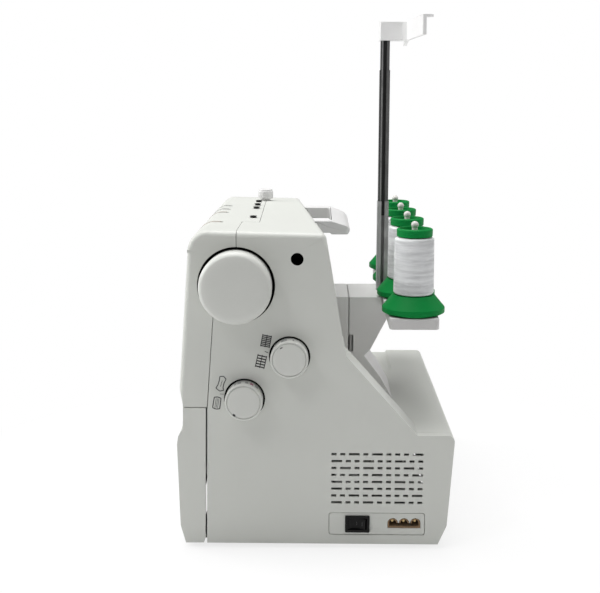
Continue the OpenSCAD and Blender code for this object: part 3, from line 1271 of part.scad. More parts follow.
base_pan();
rubber_feet();
frame();
main_cover();
front_cover();
face_cover();
left_cover();
rear_cover();
inner_panel();
needle_plate();
lower_knife();
lamp();
motor();
power_panel();
switch_housing();
inlet_socket();
carry_handle();
thread_ports();
stand_arm();
spool_tray();
spool_pins();
pole_outer();
shaft_bushes();
drive_belt();
timing_belt();
cover_screws();
presser_spring();
looper_cover();
handwheel();
main_shaft();
connecting_rod();
looper_shaft();
motor_pulley();
stitch_length_knob();
diff_feed_knob();
pressure_knob();
tension_dial_1();
tension_dial_2();
tension_dial_3();
tension_dial_4();
switch_rocker();
presser_bar();
presser_foot();
presser_lever();
needle_bar();
upper_looper();
lower_looper();
upper_knife();
feed_dogs();
pole_middle();
pole_top();
thread_guide();
spool_1();
spool_2();
spool_3();
spool_4();
thread_1();
thread_2();
thread_3();
thread_4();
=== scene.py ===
import json
import math
import bpy
import bmesh
from mathutils import Matrix, Vector
from mathutils.bvhtree import BVHTree


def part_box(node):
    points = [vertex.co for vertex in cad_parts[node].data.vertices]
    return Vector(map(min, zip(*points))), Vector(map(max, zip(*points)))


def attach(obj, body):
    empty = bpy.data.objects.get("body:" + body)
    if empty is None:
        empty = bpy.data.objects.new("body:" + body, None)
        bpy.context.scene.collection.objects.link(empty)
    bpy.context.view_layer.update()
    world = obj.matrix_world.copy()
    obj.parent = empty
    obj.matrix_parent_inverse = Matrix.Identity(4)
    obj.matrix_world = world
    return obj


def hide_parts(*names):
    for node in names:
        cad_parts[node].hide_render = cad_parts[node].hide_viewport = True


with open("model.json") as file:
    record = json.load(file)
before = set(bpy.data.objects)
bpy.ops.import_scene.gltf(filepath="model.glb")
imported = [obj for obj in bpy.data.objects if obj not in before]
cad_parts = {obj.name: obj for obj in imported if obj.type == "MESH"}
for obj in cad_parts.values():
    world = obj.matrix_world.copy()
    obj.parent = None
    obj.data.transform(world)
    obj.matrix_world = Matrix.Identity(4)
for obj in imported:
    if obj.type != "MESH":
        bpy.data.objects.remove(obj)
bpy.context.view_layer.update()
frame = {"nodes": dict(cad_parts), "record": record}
nodes = frame["nodes"]
print("frame loaded,", len(nodes), "nodes")

shiftX = -0.010        # the body sits this far left of the middle of the box
rightX = 160.0         # the plane of its right end, in millimetres about the middle of the body


def place(x, y, z):    # millimetres about the middle of the body, to metres in the frame
    return Vector((x / 1000 + shiftX, y / 1000, z / 1000))


# Shader maths: a socket that takes Python's operators

class Value:
    def __init__(self, paint, socket):
        self.paint = paint
        self.socket = socket

    def calc(self, operation, *others):
        return self.paint.math(operation, self, *others)

    def __add__(self, other): return self.calc("ADD", other)
    def __radd__(self, other): return self.calc("ADD", other)
    def __mul__(self, other): return self.calc("MULTIPLY", other)
    def __rmul__(self, other): return self.calc("MULTIPLY", other)
    def __sub__(self, other): return self.calc("SUBTRACT", other)
    def __rsub__(self, other): return self.paint.math("SUBTRACT", other, self)
    def __truediv__(self, other): return self.calc("DIVIDE", other)


class Paint:
    def __init__(self, name):
        self.material = bpy.data.materials.new(name)
        self.material.use_nodes = True
        self.tree = self.material.node_tree
        self.tree.nodes.clear()

    def add(self, kind, settings=None, inputs=None, out=0):
        node = self.tree.nodes.new(kind)
        for key, setting in (settings or {}).items():
            setattr(node, key, setting)
        for key, content in (inputs or {}).items():
            self.feed(node.inputs[key], content)
        return Value(self, node.outputs[out]) if len(node.outputs) else None

    def feed(self, socket, content):
        if isinstance(content, Value):
            self.tree.links.new(content.socket, socket)
        else:
            socket.default_value = content

    def math(self, operation, *values):
        return self.add("ShaderNodeMath", {"operation": operation}, dict(enumerate(values)))

    def clamp(self, value):
        return self.add("ShaderNodeClamp", {}, {"Value": value})

    def spread(self, value, gain, drop):        # a noise with more contrast, kept from 0 to 1
        return self.clamp(value * gain - drop)

    def swing(self, value, amount):             # a noise as a swing about zero
        return (value - 0.5) * amount

    def coords(self):
        return self.add("ShaderNodeTexCoord", {}, {}, "Object")

    def axis(self, name):
        return self.add("ShaderNodeSeparateXYZ", {}, {"Vector": self.coords()}, name)

    def between(self, value, low, high, soft):  # 1 from low to high, fading over soft at both ends
        return self.clamp((value - low) / soft + 0.5) * self.clamp((high - value) / soft + 0.5)

    def noise(self, scale, detail=3.0, roughness=0.55, stretch=None):
        source = self.coords()
        if stretch:
            source = self.add("ShaderNodeVectorMath", {"operation": "MULTIPLY"},
                              {0: source, 1: stretch})
        inputs = {"Vector": source, "Scale": scale, "Detail": detail, "Roughness": roughness}
        return self.add("ShaderNodeTexNoise", {}, inputs, "Fac")

    def mix(self, mask, first, second):     # 6, 7 and 2 are the colour sockets of the mix node
        return self.add("ShaderNodeMix", {"data_type": "RGBA"}, {0: mask, 6: first, 7: second}, 2)

    def bump(self, height, distance):
        return self.add("ShaderNodeBump", {}, {"Height": height, "Distance": distance,
                                               "Strength": 1.0})

    def surface(self, colour, roughness, normal=None, **extra):
        inputs = {"Base Color": colour, "Roughness": roughness}
        if normal:
            inputs["Normal"] = normal
        inputs.update({key.replace("_", " "): content for key, content in extra.items()})
        shader = self.add("ShaderNodeBsdfPrincipled", {}, inputs)
        self.add("ShaderNodeOutputMaterial", {}, {"Surface": shader})
        return self.material


def tone(grey, warm=0.0):
    return (grey * (1 + warm), grey, grey * (1 - warm), 1.0)


def shaded(colour, share):
    return tuple(c * share for c in colour[:3]) + (1.0,)


# Finishes

def mouldedPlastic(name, colour, sheen=0.42, grain=0.00004, variation=0.04):
    p = Paint(name)
    cloud = p.noise(14.0, 2.0)
    fine = p.noise(2600.0, 2.0, 0.6)
    base = p.mix(p.spread(cloud, 1.6, 0.3), shaded(colour, 1 - variation), colour)
    rough = sheen + p.swing(fine, 0.16) + p.swing(cloud, 0.08)
    return p.surface(base, rough, p.bump(fine, grain), Specular_IOR_Level=0.42)


def glossyPlastic(name, colour, sheen, level):
    p = Paint(name)
    smear = p.noise(55.0, 4.0)
    fine = p.noise(900.0, 2.0)
    base = p.mix(p.spread(smear, 1.4, 0.2), shaded(colour, 0.92), colour)
    return p.surface(base, sheen + smear * 0.12, p.bump(fine, 0.00001), Specular_IOR_Level=level)


def deepShade(name, colour):      # dull and dusty, for tones painted inside a recess: dark painted shade, and a lifted brown inside the inlet
    p = Paint(name)
    dust = p.noise(240.0, 4.0)
    base = p.mix(p.spread(dust, 2.0, 0.9), colour, shaded(colour, 2.0))
    return p.surface(base, 0.85 + p.swing(dust, 0.15), p.bump(dust, 0.00003),
                     Specular_IOR_Level=0.1)


def brushedMetal(name, colour, rough=0.3, stretch=(1.0, 1.0, 0.04)):
    p = Paint(name)
    lines = p.noise(9000.0, 2.0, 0.6, stretch)
    stain = p.noise(60.0, 3.0)
    base = p.mix(p.spread(stain, 1.5, 0.25), shaded(colour, 0.8), colour)
    sheen = rough + p.swing(lines, 0.18) + p.swing(stain, 0.1)
    return p.surface(base, sheen, p.bump(lines, 0.000006), Metallic=1.0)


def castMetal(name, colour, rough=0.5):
    p = Paint(name)
    sand = p.noise(1400.0, 4.0, 0.65)
    patch = p.noise(40.0, 3.0)
    base = p.mix(p.spread(patch, 1.4, 0.2), shaded(colour, 0.7), colour)
    return p.surface(base, rough + p.swing(sand, 0.2), p.bump(sand, 0.00006), Metallic=0.9)


def rubberFinish(name, colour):
    p = Paint(name)
    dust = p.noise(90.0, 5.0)
    fine = p.noise(3000.0, 2.0)
    base = p.mix(p.spread(dust, 2.2, 1.0), colour, shaded(colour, 2.5))
    return p.surface(base, 0.72 + p.swing(fine, 0.2), p.bump(fine, 0.00003))


def inkFinish(name, colour):
    p = Paint(name)
    worn = p.noise(1800.0, 3.0)
    pale = tuple(min(1.0, c + 0.05) for c in colour[:3]) + (1.0,)
    base = p.mix(p.spread(worn, 2.0, 0.8), colour, pale)
    return p.surface(base, 0.55 + p.swing(worn, 0.2))


def threadFinish(name):      # loose bands where the winding crosses itself, and fine fuzz
    p = Paint(name)
    bands = p.noise(330.0, 3.0, 0.6, (0.10, 0.10, 1.0))
    fuzz = p.noise(5200.0, 3.0)
    base = p.mix(p.spread(bands, 3.2, 1.1), tone(0.66, -0.012), tone(0.90, -0.01))
    return p.surface(base, 0.62 + p.swing(fuzz, 0.2), p.bump(bands + fuzz * 0.2, 0.0003),
                     Sheen_Weight=0.2)


# where the painted reflection bands lie across the pole: its middle in metres, the bands in
# millimetres from it
poleReflectionBands = {"middle": 0.0664, "lip": (-3.4, -2.1, 0.5), "cheek": (1.5, 0.3)}


def poleFinish(name, flank, lip, cheek):      # painted reflections in bands by place: a dark flank, a pale lip in front as a painted highlight, a grey cheek behind
    p = Paint(name)
    y = (p.axis("Y") - poleReflectionBands["middle"]) * 1000
    brush = p.noise(5200.0, 2.0, 0.6, (1.0, 1.0, 0.03))
    stain = p.noise(70.0, 4.0)
    lipHighlight = p.between(y, *poleReflectionBands["lip"])
    start, soft = poleReflectionBands["cheek"]
    onCheek = p.clamp((y - start) / soft)
    base = p.mix(lipHighlight, tone(flank), tone(lip))
    base = p.mix(onCheek, base, tone(cheek))
    base = p.mix(p.spread(stain, 2.2, 1.0), base, tone(flank * 1.5))
    return p.surface(base, 0.42 + p.swing(brush, 0.2), p.bump(brush, 0.000006), Metallic=0.35)


finish = {
    "cover": mouldedPlastic("cover off-white", (0.584, 0.594, 0.560, 1.0)),
    "coverLight": mouldedPlastic("cover bright", tone(0.66, 0.006)),
    "knob": mouldedPlastic("knob off-white", (0.582, 0.590, 0.560, 1.0), 0.36, 0.00002),
    "handle": mouldedPlastic("handle white", tone(0.64, 0.006)),
    "standGrey": mouldedPlastic("stand grey", tone(0.68, 0.012)),
    # the cover's plastic in a darker tone: painted shade for the shadow of the spools on the tray
    "trayShaded": mouldedPlastic("tray painted shade", tone(0.53, 0.012)),
    "standWhite": mouldedPlastic("guide white", tone(0.80, 0.003)),
    "pin": mouldedPlastic("pin off-white", tone(0.62, 0.03), sheen=0.3),
    # near black: painted shade on the walls and floors of the round recesses and on the facing walls
    # of the seams
    "recess": deepShade("recess dark", tone(0.004)),
    "base": mouldedPlastic("base dark", tone(0.10)),
    "black": glossyPlastic("black gloss", tone(0.005), 0.34, 0.16),
    # near black: painted shade, so the screw at the bottom of the deep hole on the right side reads as
    # dark as the hole; all cover screws share it
    "screw": castMetal("screw dark", tone(0.02), rough=0.6),
    "green": glossyPlastic("spool green", (0.001, 0.205, 0.040, 1.0), 0.42, 0.10),
    "brown": mouldedPlastic("inlet brown", (0.26, 0.15, 0.065, 1.0), sheen=0.35, variation=0.3),
    # paler and greyer than the rim's brown: painted light that lifts the shade deep inside the inlet's
    # lobes
    "inletPaintedLight": deepShade("inlet inside painted light", (0.28, 0.21, 0.14, 1.0)),
    "rubber": rubberFinish("rubber black", tone(0.02)),
    "steel": brushedMetal("ground steel", tone(0.55)),
    "plate": brushedMetal("plate steel", tone(0.66), rough=0.26, stretch=(0.04, 1.0, 1.0)),
    "chrome": brushedMetal("chromed steel", tone(0.72), rough=0.12),
    "alloy": castMetal("cast alloy", tone(0.48)),
    "bronze": castMetal("bush bronze", (0.36, 0.22, 0.08, 1.0)),
    "motor": mouldedPlastic("motor enamel", tone(0.03), sheen=0.4),
    # the outer and the upper sections take different painted reflection bands
    "pole": poleFinish("pole metal", 0.36, 0.40, 0.30),
    "poleUpper": poleFinish("pole metal upper", 0.045, 0.26, 0.12),
    "leverGrey": mouldedPlastic("lever grey", tone(0.3)),
    "lens": mouldedPlastic("lamp lens", (0.75, 0.72, 0.6, 1.0), sheen=0.5),
    "brass": brushedMetal("contact brass", (0.62, 0.46, 0.22, 1.0), rough=0.3),
    "ink": inkFinish("ink dark", tone(0.025)),
    "inkSoft": inkFinish("ink soft", tone(0.24)),
    "inkPale": inkFinish("ink pale", tone(0.13)),
    "inkWarm": inkFinish("ink warm", (0.42, 0.27, 0.20, 1.0)),
    "inkPink": inkFinish("ink pink", (0.30, 0.10, 0.16, 1.0)),
    "thread": threadFinish("wound thread"),
}
print("finishes made,", len(finish))


# Mesh helpers

def linked(name, data):
    made = bpy.data.objects.new(name, data)
    bpy.context.scene.collection.objects.link(made)
    return made


def settled(work):      # the mesh of a working object with its modifiers applied; the object goes
    depsgraph = bpy.context.evaluated_depsgraph_get()
    mesh = bpy.data.meshes.new_from_object(work.evaluated_get(depsgraph))
    bpy.data.objects.remove(work)
    return mesh


def closedMesh(shape, name):
    bmesh.ops.recalc_face_normals(shape, faces=shape.faces)
    mesh = bpy.data.meshes.new(name)
    shape.to_mesh(mesh)
    shape.free()
    return mesh


def bridged(shape, rows):       # each row of points becomes a ring, with faces to the next one
    rings = [[shape.verts.new(point) for point in row] for row in rows]
    for a, b in zip(rings, rings[1:]):
        for k in range(len(a)):
            j = (k + 1) % len(a)
            shape.faces.new((a[k], a[j], b[j], b[k]))
    return rings


def tube(name, rows):       # the same with both ends closed
    shape = bmesh.new()
    rings = bridged(shape, rows)
    shape.faces.new(rings[0][::-1])
    shape.faces.new(rings[-1])
    return closedMesh(shape, name)


weld = 0.0000005        # points closer than this become one


def turned(profile, steps=96):      # a profile of (radius, height), turned about Z
    around = [2 * math.pi * k / steps for k in range(steps)]
    shape = bmesh.new()
    bridged(shape, [[(r * math.cos(a), r * math.sin(a), z) for a in around] for r, z in profile])
    bmesh.ops.remove_doubles(shape, verts=shape.verts, dist=weld)
    return closedMesh(shape, "turned")


def joined(name, meshes, materials=()):
    shape = bmesh.new()
    for mesh in meshes:
        shape.from_mesh(mesh)
    result = bpy.data.meshes.new(name)
    shape.to_mesh(result)
    shape.free()
    for material in materials:
        result.materials.append(material)
    return result


def smoothed(mesh):
    for polygon in mesh.polygons:
        polygon.use_smooth = True
        polygon.material_index = 0
    return mesh


def markSharp(shape, limit):        # edges that turn by more than the limit stay sharp
    for line in shape.edges:
        if len(line.link_faces) == 2:
            line.smooth = line.calc_face_angle(0.0) < math.radians(limit)


def rounded(mesh, limit):
    shape = bmesh.new()
    shape.from_mesh(mesh)
    for face in shape.faces:
        face.smooth = True
    markSharp(shape, limit)
    shape.to_mesh(mesh)
    shape.free()
    return mesh


# The carried-over pieces keep their shape and take a finish

plainFinish = {
    "base_pan": "base", "frame": "alloy", "inner_panel": "coverLight",
    "lower_knife": "steel", "upper_knife": "steel", "lamp": "lens", "motor": "motor",
    "shaft_bushes": "bronze", "drive_belt": "rubber", "timing_belt": "rubber",
    "cover_screws": "screw", "presser_spring": "steel", "main_shaft": "steel",
    "connecting_rod": "alloy", "looper_shaft": "steel", "motor_pulley": "steel",
    "presser_bar": "chrome", "needle_bar": "chrome", "upper_looper": "chrome",
    "lower_looper": "chrome", "feed_dogs": "steel",
}
for node, key in plainFinish.items():
    cadMesh = nodes[node].data
    cadMesh.materials.clear()
    cadMesh.materials.append(finish[key])


# Covers and mouldings are dressed: a merged copy with softened edges

def newPiece(name, mesh, body, hides=()):
    piece = linked(name, mesh)
    if hides:
        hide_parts(*hides)
    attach(piece, body)


def bodyOf(node):
    for name, members in frame["record"]["behaviour"]["bodies"].items():
        if node in members:
            return name


controls = {"wheelY": -69.4, "wheelZ": 242.0, "wheelRecess": 33.9, "wheelDeep": 14,
            "stitchY": -23.0, "stitchZ": 179.0, "feedY": -63.0, "feedZ": 140.5,
            "knobRecess": 18.2, "knobDeep": 4,
            "screwY": -16.3, "screwZ": 265.4, "screwR": 5.5, "screwDeep": 30,
            "rim": 0.5, "deepest": 34, "slack": 0.08,
            "inletY": 80.2, "inletZ": 24.0, "inletDeep": 4,
            "pinPitch": 10.2, "pinR": 1.3, "pinDeep": 14.9}


def inRecess(where):       # the walls and floors of the round recesses on the right side, which take the near-black painted shade
    c = controls
    if where.x > rightX - c["rim"] or where.x < rightX - c["deepest"]:
        return False
    rounds = ((c["wheelY"], c["wheelZ"], c["wheelRecess"], c["wheelDeep"]),
              (c["stitchY"], c["stitchZ"], c["knobRecess"], c["knobDeep"]),
              (c["feedY"], c["feedZ"], c["knobRecess"], c["knobDeep"]),
              (c["screwY"], c["screwZ"], c["screwR"], c["screwDeep"]))
    return any(math.hypot(where.y - y, where.z - z) < r + c["slack"] and where.x > rightX - deep
               for y, z, r, deep in rounds)


def onInletPin(where):
    c = controls
    pins = [c["inletY"] + k * c["pinPitch"] for k in (-1, 0, 1)]
    near = any(math.hypot(where.y - y, where.z - c["inletZ"]) < c["pinR"] for y in pins)
    return near and where.x > rightX - c["pinDeep"]


# the inside of the inlet past inletDeep, which takes the painted light brown
def inInlet(where):
    return where.x < rightX - controls["inletDeep"]


# faces that take another finish: painted shade in the recesses, brass on the inlet pins, a painted
# light brown inside the inlet
zones = {
    "main_cover": [("recess", inRecess)],
    "front_cover": [("recess", inRecess)],
    "inlet_socket": [("brass", onInletPin), ("inletPaintedLight", inInlet)],
}


# The edge between the right end and the top stays round along the falling top and down the back corner

topEdge = {"radius": 5.4, "turn": 5.178, "frontY": -92.0, "fallY": -10.278, "fallZ": 287.5,
           "slope": 0.02372, "topAngle": 88.64, "cornerR": 5.0, "lean": 9.0,
           "tail": 24.0, "taper": 1.3, "least": 0.15, "steps": (8, 6, 4), "arcStep": 9,
           "beyond": 2.0, "merge": 0.000002, "nodes": ("main_cover", "front_cover")}


def edgePath():     # y, z, the outward angle up from the back, and the radius
    s = topEdge
    topSteps, cornerSteps, tailSteps = s["steps"]
    turn, lean = math.radians(s["turn"]), math.radians(s["lean"])
    fallY = s["fallY"] + rightX * math.sin(turn)
    path = []
    for k in range(topSteps + 1):
        y = s["frontY"] + (fallY / math.cos(turn) - s["frontY"]) * k / topSteps
        z = s["fallZ"] + (fallY - math.cos(turn) * y) * s["slope"]
        path.append((y, z, s["topAngle"], s["radius"]))
    endY = path[-1][0]
    for k in range(1, cornerSteps + 1):
        angle = s["topAngle"] + (s["lean"] - s["topAngle"]) * k / cornerSteps
        y = endY + s["cornerR"] * math.cos(math.radians(angle))
        z = s["fallZ"] - s["cornerR"] * (1 - math.sin(math.radians(angle)))
        path.append((y, z, angle, s["radius"]))
    y, z, angle, radius = path[-1]
    for k in range(1, tailSteps + 1):
        run = s["tail"] * k / tailSteps
        radius = s["radius"] * (1 - k / tailSteps) ** s["taper"] + s["least"]
        path.append((y + run * math.sin(lean), z - run * math.cos(lean), angle, radius))
    return path


def edgeCutter():       # what lies outside the rounded edge, as a solid
    beyond = topEdge["beyond"]
    arc = [math.radians(q) for q in range(0, 91, topEdge["arcStep"])]
    rows = []
    for y, z, angle, r in edgePath():
        ny, nz = math.cos(math.radians(angle)), math.sin(math.radians(angle))
        outline = [(r * math.cos(q) - r, r * math.sin(q) - r) for q in arc]
        outline += [(-r, beyond), (beyond, beyond), (beyond, -r)]
        rows.append([place(rightX + dx, y + ny * dn, z + nz * dn) for dx, dn in outline])
    return linked("edge cutter", tube("edge cutter", rows))


def roundedTop(mesh):       # the mesh with the cutter taken off
    shape = bmesh.new()
    shape.from_mesh(mesh)
    bmesh.ops.remove_doubles(shape, verts=shape.verts, dist=topEdge["merge"])
    shape.to_mesh(mesh)
    shape.free()
    cutter = edgeCutter()
    work = linked("rounding", mesh)
    cut = work.modifiers.new("cut", "BOOLEAN")
    cut.operation = "DIFFERENCE"
    cut.solver = "MANIFOLD"
    cut.object = cutter
    made = settled(work)
    bpy.data.objects.remove(cutter)
    return made


# The facing walls of the seams between the fixed covers are painted near black as shade. Over the top,
# from portsX to sideX, they keep the colour of the cover.

seams = {"covers": ("main_cover", "front_cover", "face_cover", "left_cover", "rear_cover"),
         "reach": 0.0007, "edge": 0.0005, "wallX": 157.6, "sideX": 150.0, "portsX": 92.0}


def neighbourOf(node):      # the other fixed covers, for a test of what a face looks onto
    if node not in seams["covers"]:
        return None
    points, faces = [], []
    for other in seams["covers"]:
        if other != node:
            mesh = nodes[other].data
            start = len(points)
            points += [vert.co.copy() for vert in mesh.vertices]
            faces += [[start + index for index in polygon.vertices] for polygon in mesh.polygons]
    return BVHTree.FromPolygons(points, faces)


# a face that looks onto another cover within reach takes the painted shade
def inSeam(face, around):
    centre = face.calc_center_median()
    x = (centre.x - shiftX) * 1000
    if not around or seams["portsX"] < x < seams["sideX"]:
        return False
    return around.ray_cast(centre, face.normal, seams["reach"])[0] is not None


dressing = {"merge": 0.000012, "flat": 0.6, "bowFlat": 0.1, "sharp": 32.0, "steps": 2}


def cutAtSeams(shape):      # so that a face lies on one side only of each limit of the shade
    for x in (seams["wallX"], seams["sideX"], seams["portsX"]):
        everything = shape.verts[:] + shape.edges[:] + shape.faces[:]
        bmesh.ops.bisect_plane(shape, geom=everything, plane_co=place(x, 0, 0), plane_no=(1, 0, 0))


def paintFaces(shape, node, around):        # finish 0 is the cover's own, the last one the painted shade of the seams
    extras = zones.get(node, [])
    for face in shape.faces:
        face.smooth = True
        face.material_index = len(extras) + 1 if inSeam(face, around) else 0
        where = (face.calc_center_median() - Vector((shiftX, 0, 0))) * 1000
        for index, (extra, test) in enumerate(extras, 1):
            if test(where):
                face.material_index = index
                break


def weighSeams(shape, around):      # the mouths of the seams on the right side get a small bevel
    weight = shape.edges.layers.float.new("bevel_weight_edge")
    side = place(seams["sideX"], 0, 0).x
    for line in shape.edges:
        if len(line.link_faces) == 2:
            flags = [inSeam(face, around) and face.calc_center_median().x > side
                     for face in line.link_faces]
            line[weight] = 1.0 if flags[0] != flags[1] and not line.smooth else 0.0


def soften(work, edge, around):
    if edge:
        bevel = work.modifiers.new("edges", "BEVEL")
        bevel.limit_method = "ANGLE"
        bevel.angle_limit = math.radians(dressing["sharp"])
        bevel.width = edge
        bevel.segments = dressing["steps"]
        bevel.use_clamp_overlap = False
        bevel.harden_normals = True
        bevel.miter_outer = "MITER_ARC"
        return
    if around:
        bevel = work.modifiers.new("seam edges", "BEVEL")
        bevel.limit_method = "WEIGHT"
        bevel.width = seams["edge"]
        bevel.segments = dressing["steps"]
    even = work.modifiers.new("even", "WEIGHTED_NORMAL")
    even.keep_sharp = True


def dressed(node, key, edge):
    mesh = nodes[node].data.copy()
    around = neighbourOf(node)
    if node in topEdge["nodes"]:
        mesh = roundedTop(mesh)
    mesh.name = node + "_dressed"
    mesh.materials.clear()
    # the cover's finish, then the zone finishes, then the painted shade that goes into the seams
    for coat in [key] + [extra for extra, test in zones.get(node, [])] + ["recess"]:
        mesh.materials.append(finish[coat])
    shape = bmesh.new()
    shape.from_mesh(mesh)
    bmesh.ops.remove_doubles(shape, verts=shape.verts, dist=dressing["merge"])
    flat = math.radians(dressing["bowFlat" if node == "thread_guide" else "flat"])
    bmesh.ops.dissolve_limit(shape, angle_limit=flat, verts=shape.verts, edges=shape.edges)
    if around:
        cutAtSeams(shape)
    paintFaces(shape, node, around)
    markSharp(shape, dressing["sharp"])
    weighSeams(shape, around)
    shape.to_mesh(mesh)
    shape.free()
    work = linked(node + "_work", mesh)
    soften(work, edge, around)
    newPiece(node + "_dressed", settled(work), bodyOf(node), (node,))


# The edge widths are in metres; at 0 only the seams are bevelled

coverEdges = {
    "main_cover": ("cover", 0.0), "front_cover": ("cover", 0.0),
    "face_cover": ("cover", 0.0), "left_cover": ("cover", 0.0007),
    "rear_cover": ("cover", 0.0007), "looper_cover": ("cover", 0.0),
    "carry_handle": ("handle", 0.0009), "stand_arm": ("standGrey", 0.0007),
    "spool_tray": ("trayShaded", 0.0008), "thread_guide": ("standWhite", 0.0),
    "power_panel": ("cover", 0.0004), "switch_housing": ("black", 0.0003),
    "switch_rocker": ("black", 0.0003), "inlet_socket": ("brown", 0.0003),
    "handwheel": ("knob", 0.0006),
    "thread_ports": ("black", 0.0002), "spool_pins": ("pin", 0.0),
    "rubber_feet": ("rubber", 0.0004), "needle_plate": ("plate", 0.0002),
    "presser_foot": ("chrome", 0.0002), "presser_lever": ("leverGrey", 0.0005),
    "pole_outer": ("pole", 0.0001), "pole_middle": ("poleUpper", 0.0001),
    "pole_top": ("poleUpper", 0.0001),
}
for number in range(1, 5):
    coverEdges["tension_dial_%d" % number] = ("knob", 0.0003)
    coverEdges["spool_%d" % number] = ("green", 0.0004)
for node, (key, edge) in coverEdges.items():
    dressed(node, key, edge)
print("dressed pieces made")


# Flat shapes and printed marks

def plateMesh(outlines, thickness):     # outlines given a little thickness along Z
    shape = bmesh.new()
    for outline in outlines:
        below = [shape.verts.new((x, y, 0.0)) for x, y in outline]
        above = [shape.verts.new((x, y, thickness)) for x, y in outline]
        shape.faces.new(above)
        shape.faces.new(below[::-1])
        for k in range(len(outline)):
            j = (k + 1) % len(outline)
            shape.faces.new((below[k], below[j], above[j], above[k]))
    return closedMesh(shape, "plates")


def stroke(a, b, width):
    ax, ay = a
    bx, by = b
    length = math.hypot(bx - ax, by - ay)
    nx, ny = -(by - ay) / length * width / 2, (bx - ax) / length * width / 2
    return [(ax + nx, ay + ny), (bx + nx, by + ny), (bx - nx, by - ny), (ax - nx, ay - ny)][::-1]


def outlineOf(points, width):
    return [stroke(a, b, width) for a, b in zip(points, points[1:] + points[:1])]


def ovalOf(w, h, count=20):
    around = [2 * math.pi * k / count for k in range(count)]
    return [(w / 2 * math.cos(a), h / 2 * math.sin(a)) for a in around]


# X of a flat shape runs to the back, its Y runs up, its Z runs outwards
sideways = Matrix(((0, 0, 1, 0), (1, 0, 0, 0), (0, 1, 0, 0), (0, 0, 0, 1)))


def onRight(mesh, y, z, turn=0.0, x=rightX, lift=-0.00003):
    mesh.transform(Matrix.Translation(place(x, y, z) + Vector((lift, 0, 0))) @ sideways
                   @ Matrix.Rotation(math.radians(turn), 4, "Z"))
    return mesh


def markPiece(name, mesh, key, body="machine"):
    mesh.materials.clear()
    mesh.materials.append(finish[key])
    return newPiece(name, mesh, body)


# Geometry Nodes helpers

def socketId(tree, name):
    for item in tree.interface.items_tree:
        if item.item_type == "SOCKET" and item.in_out == "INPUT" and item.name == name:
            return item.identifier


def newTree(name, inputs):
    tree = bpy.data.node_groups.new(name, "GeometryNodeTree")
    tree.interface.new_socket("Geometry", in_out="INPUT", socket_type="NodeSocketGeometry")
    for label, (kind, default) in inputs.items():
        socket = tree.interface.new_socket(label, in_out="INPUT", socket_type=kind)
        if default is not None:
            socket.default_value = default
    tree.interface.new_socket("Geometry", in_out="OUTPUT", socket_type="NodeSocketGeometry")
    return tree


def step(tree, kind, settings=None, inputs=None):
    node = tree.nodes.new(kind)
    for key, setting in (settings or {}).items():
        setattr(node, key, setting)
    for key, content in (inputs or {}).items():
        if isinstance(content, bpy.types.NodeSocket):
            tree.links.new(content, node.inputs[key])
        else:
            node.inputs[key].default_value = content
    return node


def ending(tree, enter, geometry):      # every tree ends in real geometry with a finish
    real = step(tree, "GeometryNodeRealizeInstances", {}, {"Geometry": geometry})
    coat = step(tree, "GeometryNodeSetMaterial", {}, {"Geometry": real.outputs["Geometry"],
                "Material": enter.outputs["Finish"]})
    leave = step(tree, "NodeGroupOutput")
    tree.links.new(coat.outputs["Geometry"], leave.inputs[0])
    return tree


def grown(tree, values, name):      # runs a node tree and hands back its plain mesh
    holder = linked(name + "_holder", bpy.data.meshes.new(name + "_seed"))
    modifier = holder.modifiers.new("grow", "NODES")
    modifier.node_group = tree
    for label, content in values.items():
        modifier[socketId(tree, label)] = content
    return settled(holder)


# Setting knobs: a turned rim with a groove in the face, a pointer and marks on the rim

knobSettings = {"out": 13.0, "foot": 2.5, "radius": 16.7, "groove": 14.6, "steps": 128,
                "sharp": 50, "stem": (0.004, -0.026, 0.0002), "stemSteps": 48,
                "dot": (0.0030, 0.0021), "dotThick": 0.00006, "dotLift": 0.00008,
                "rimX": (4.5, 9.5), "rimInk": (-0.04, 0.05), "rimSteps": 6}


def knobMesh():
    s = knobSettings
    r, g, h = s["radius"], s["groove"], s["out"] + s["foot"]
    profile = [(0, 0), (r - 0.5, 0), (r - 0.3, 0.3), (r, h - 1.5), (r - 0.12, h - 0.8),
               (r - 0.45, h - 0.3), (r - 0.95, h), (g + 0.55, h), (g + 0.3, h - 0.1),
               (g + 0.2, h - 0.6), (g, h - 0.75), (g - 0.2, h - 0.6), (g - 0.35, h - 0.1),
               (g - 0.7, h + 0.05), (g - 3, h + 0.18), (8, h + 0.34), (4, h + 0.44), (0, h + 0.48)]
    return rounded(turned([(a / 1000, b / 1000) for a, b in profile], s["steps"]), s["sharp"])


def rimMark(y, z, angle, wide):     # a printed dash on the rim, angle clockwise from the top
    s = knobSettings
    near, far = s["rimX"]
    low, high = [s["radius"] + ink for ink in s["rimInk"]]
    rows = []
    for k in range(s["rimSteps"] + 1):
        a = math.radians(angle) + (k / s["rimSteps"] - 0.5) * wide / s["radius"]
        rows.append([place(rightX + x, y + r * math.sin(a), z + r * math.cos(a))
                     for x, r in ((near, low), (near, high), (far, high), (far, low))])
    return tube("rim mark", rows)


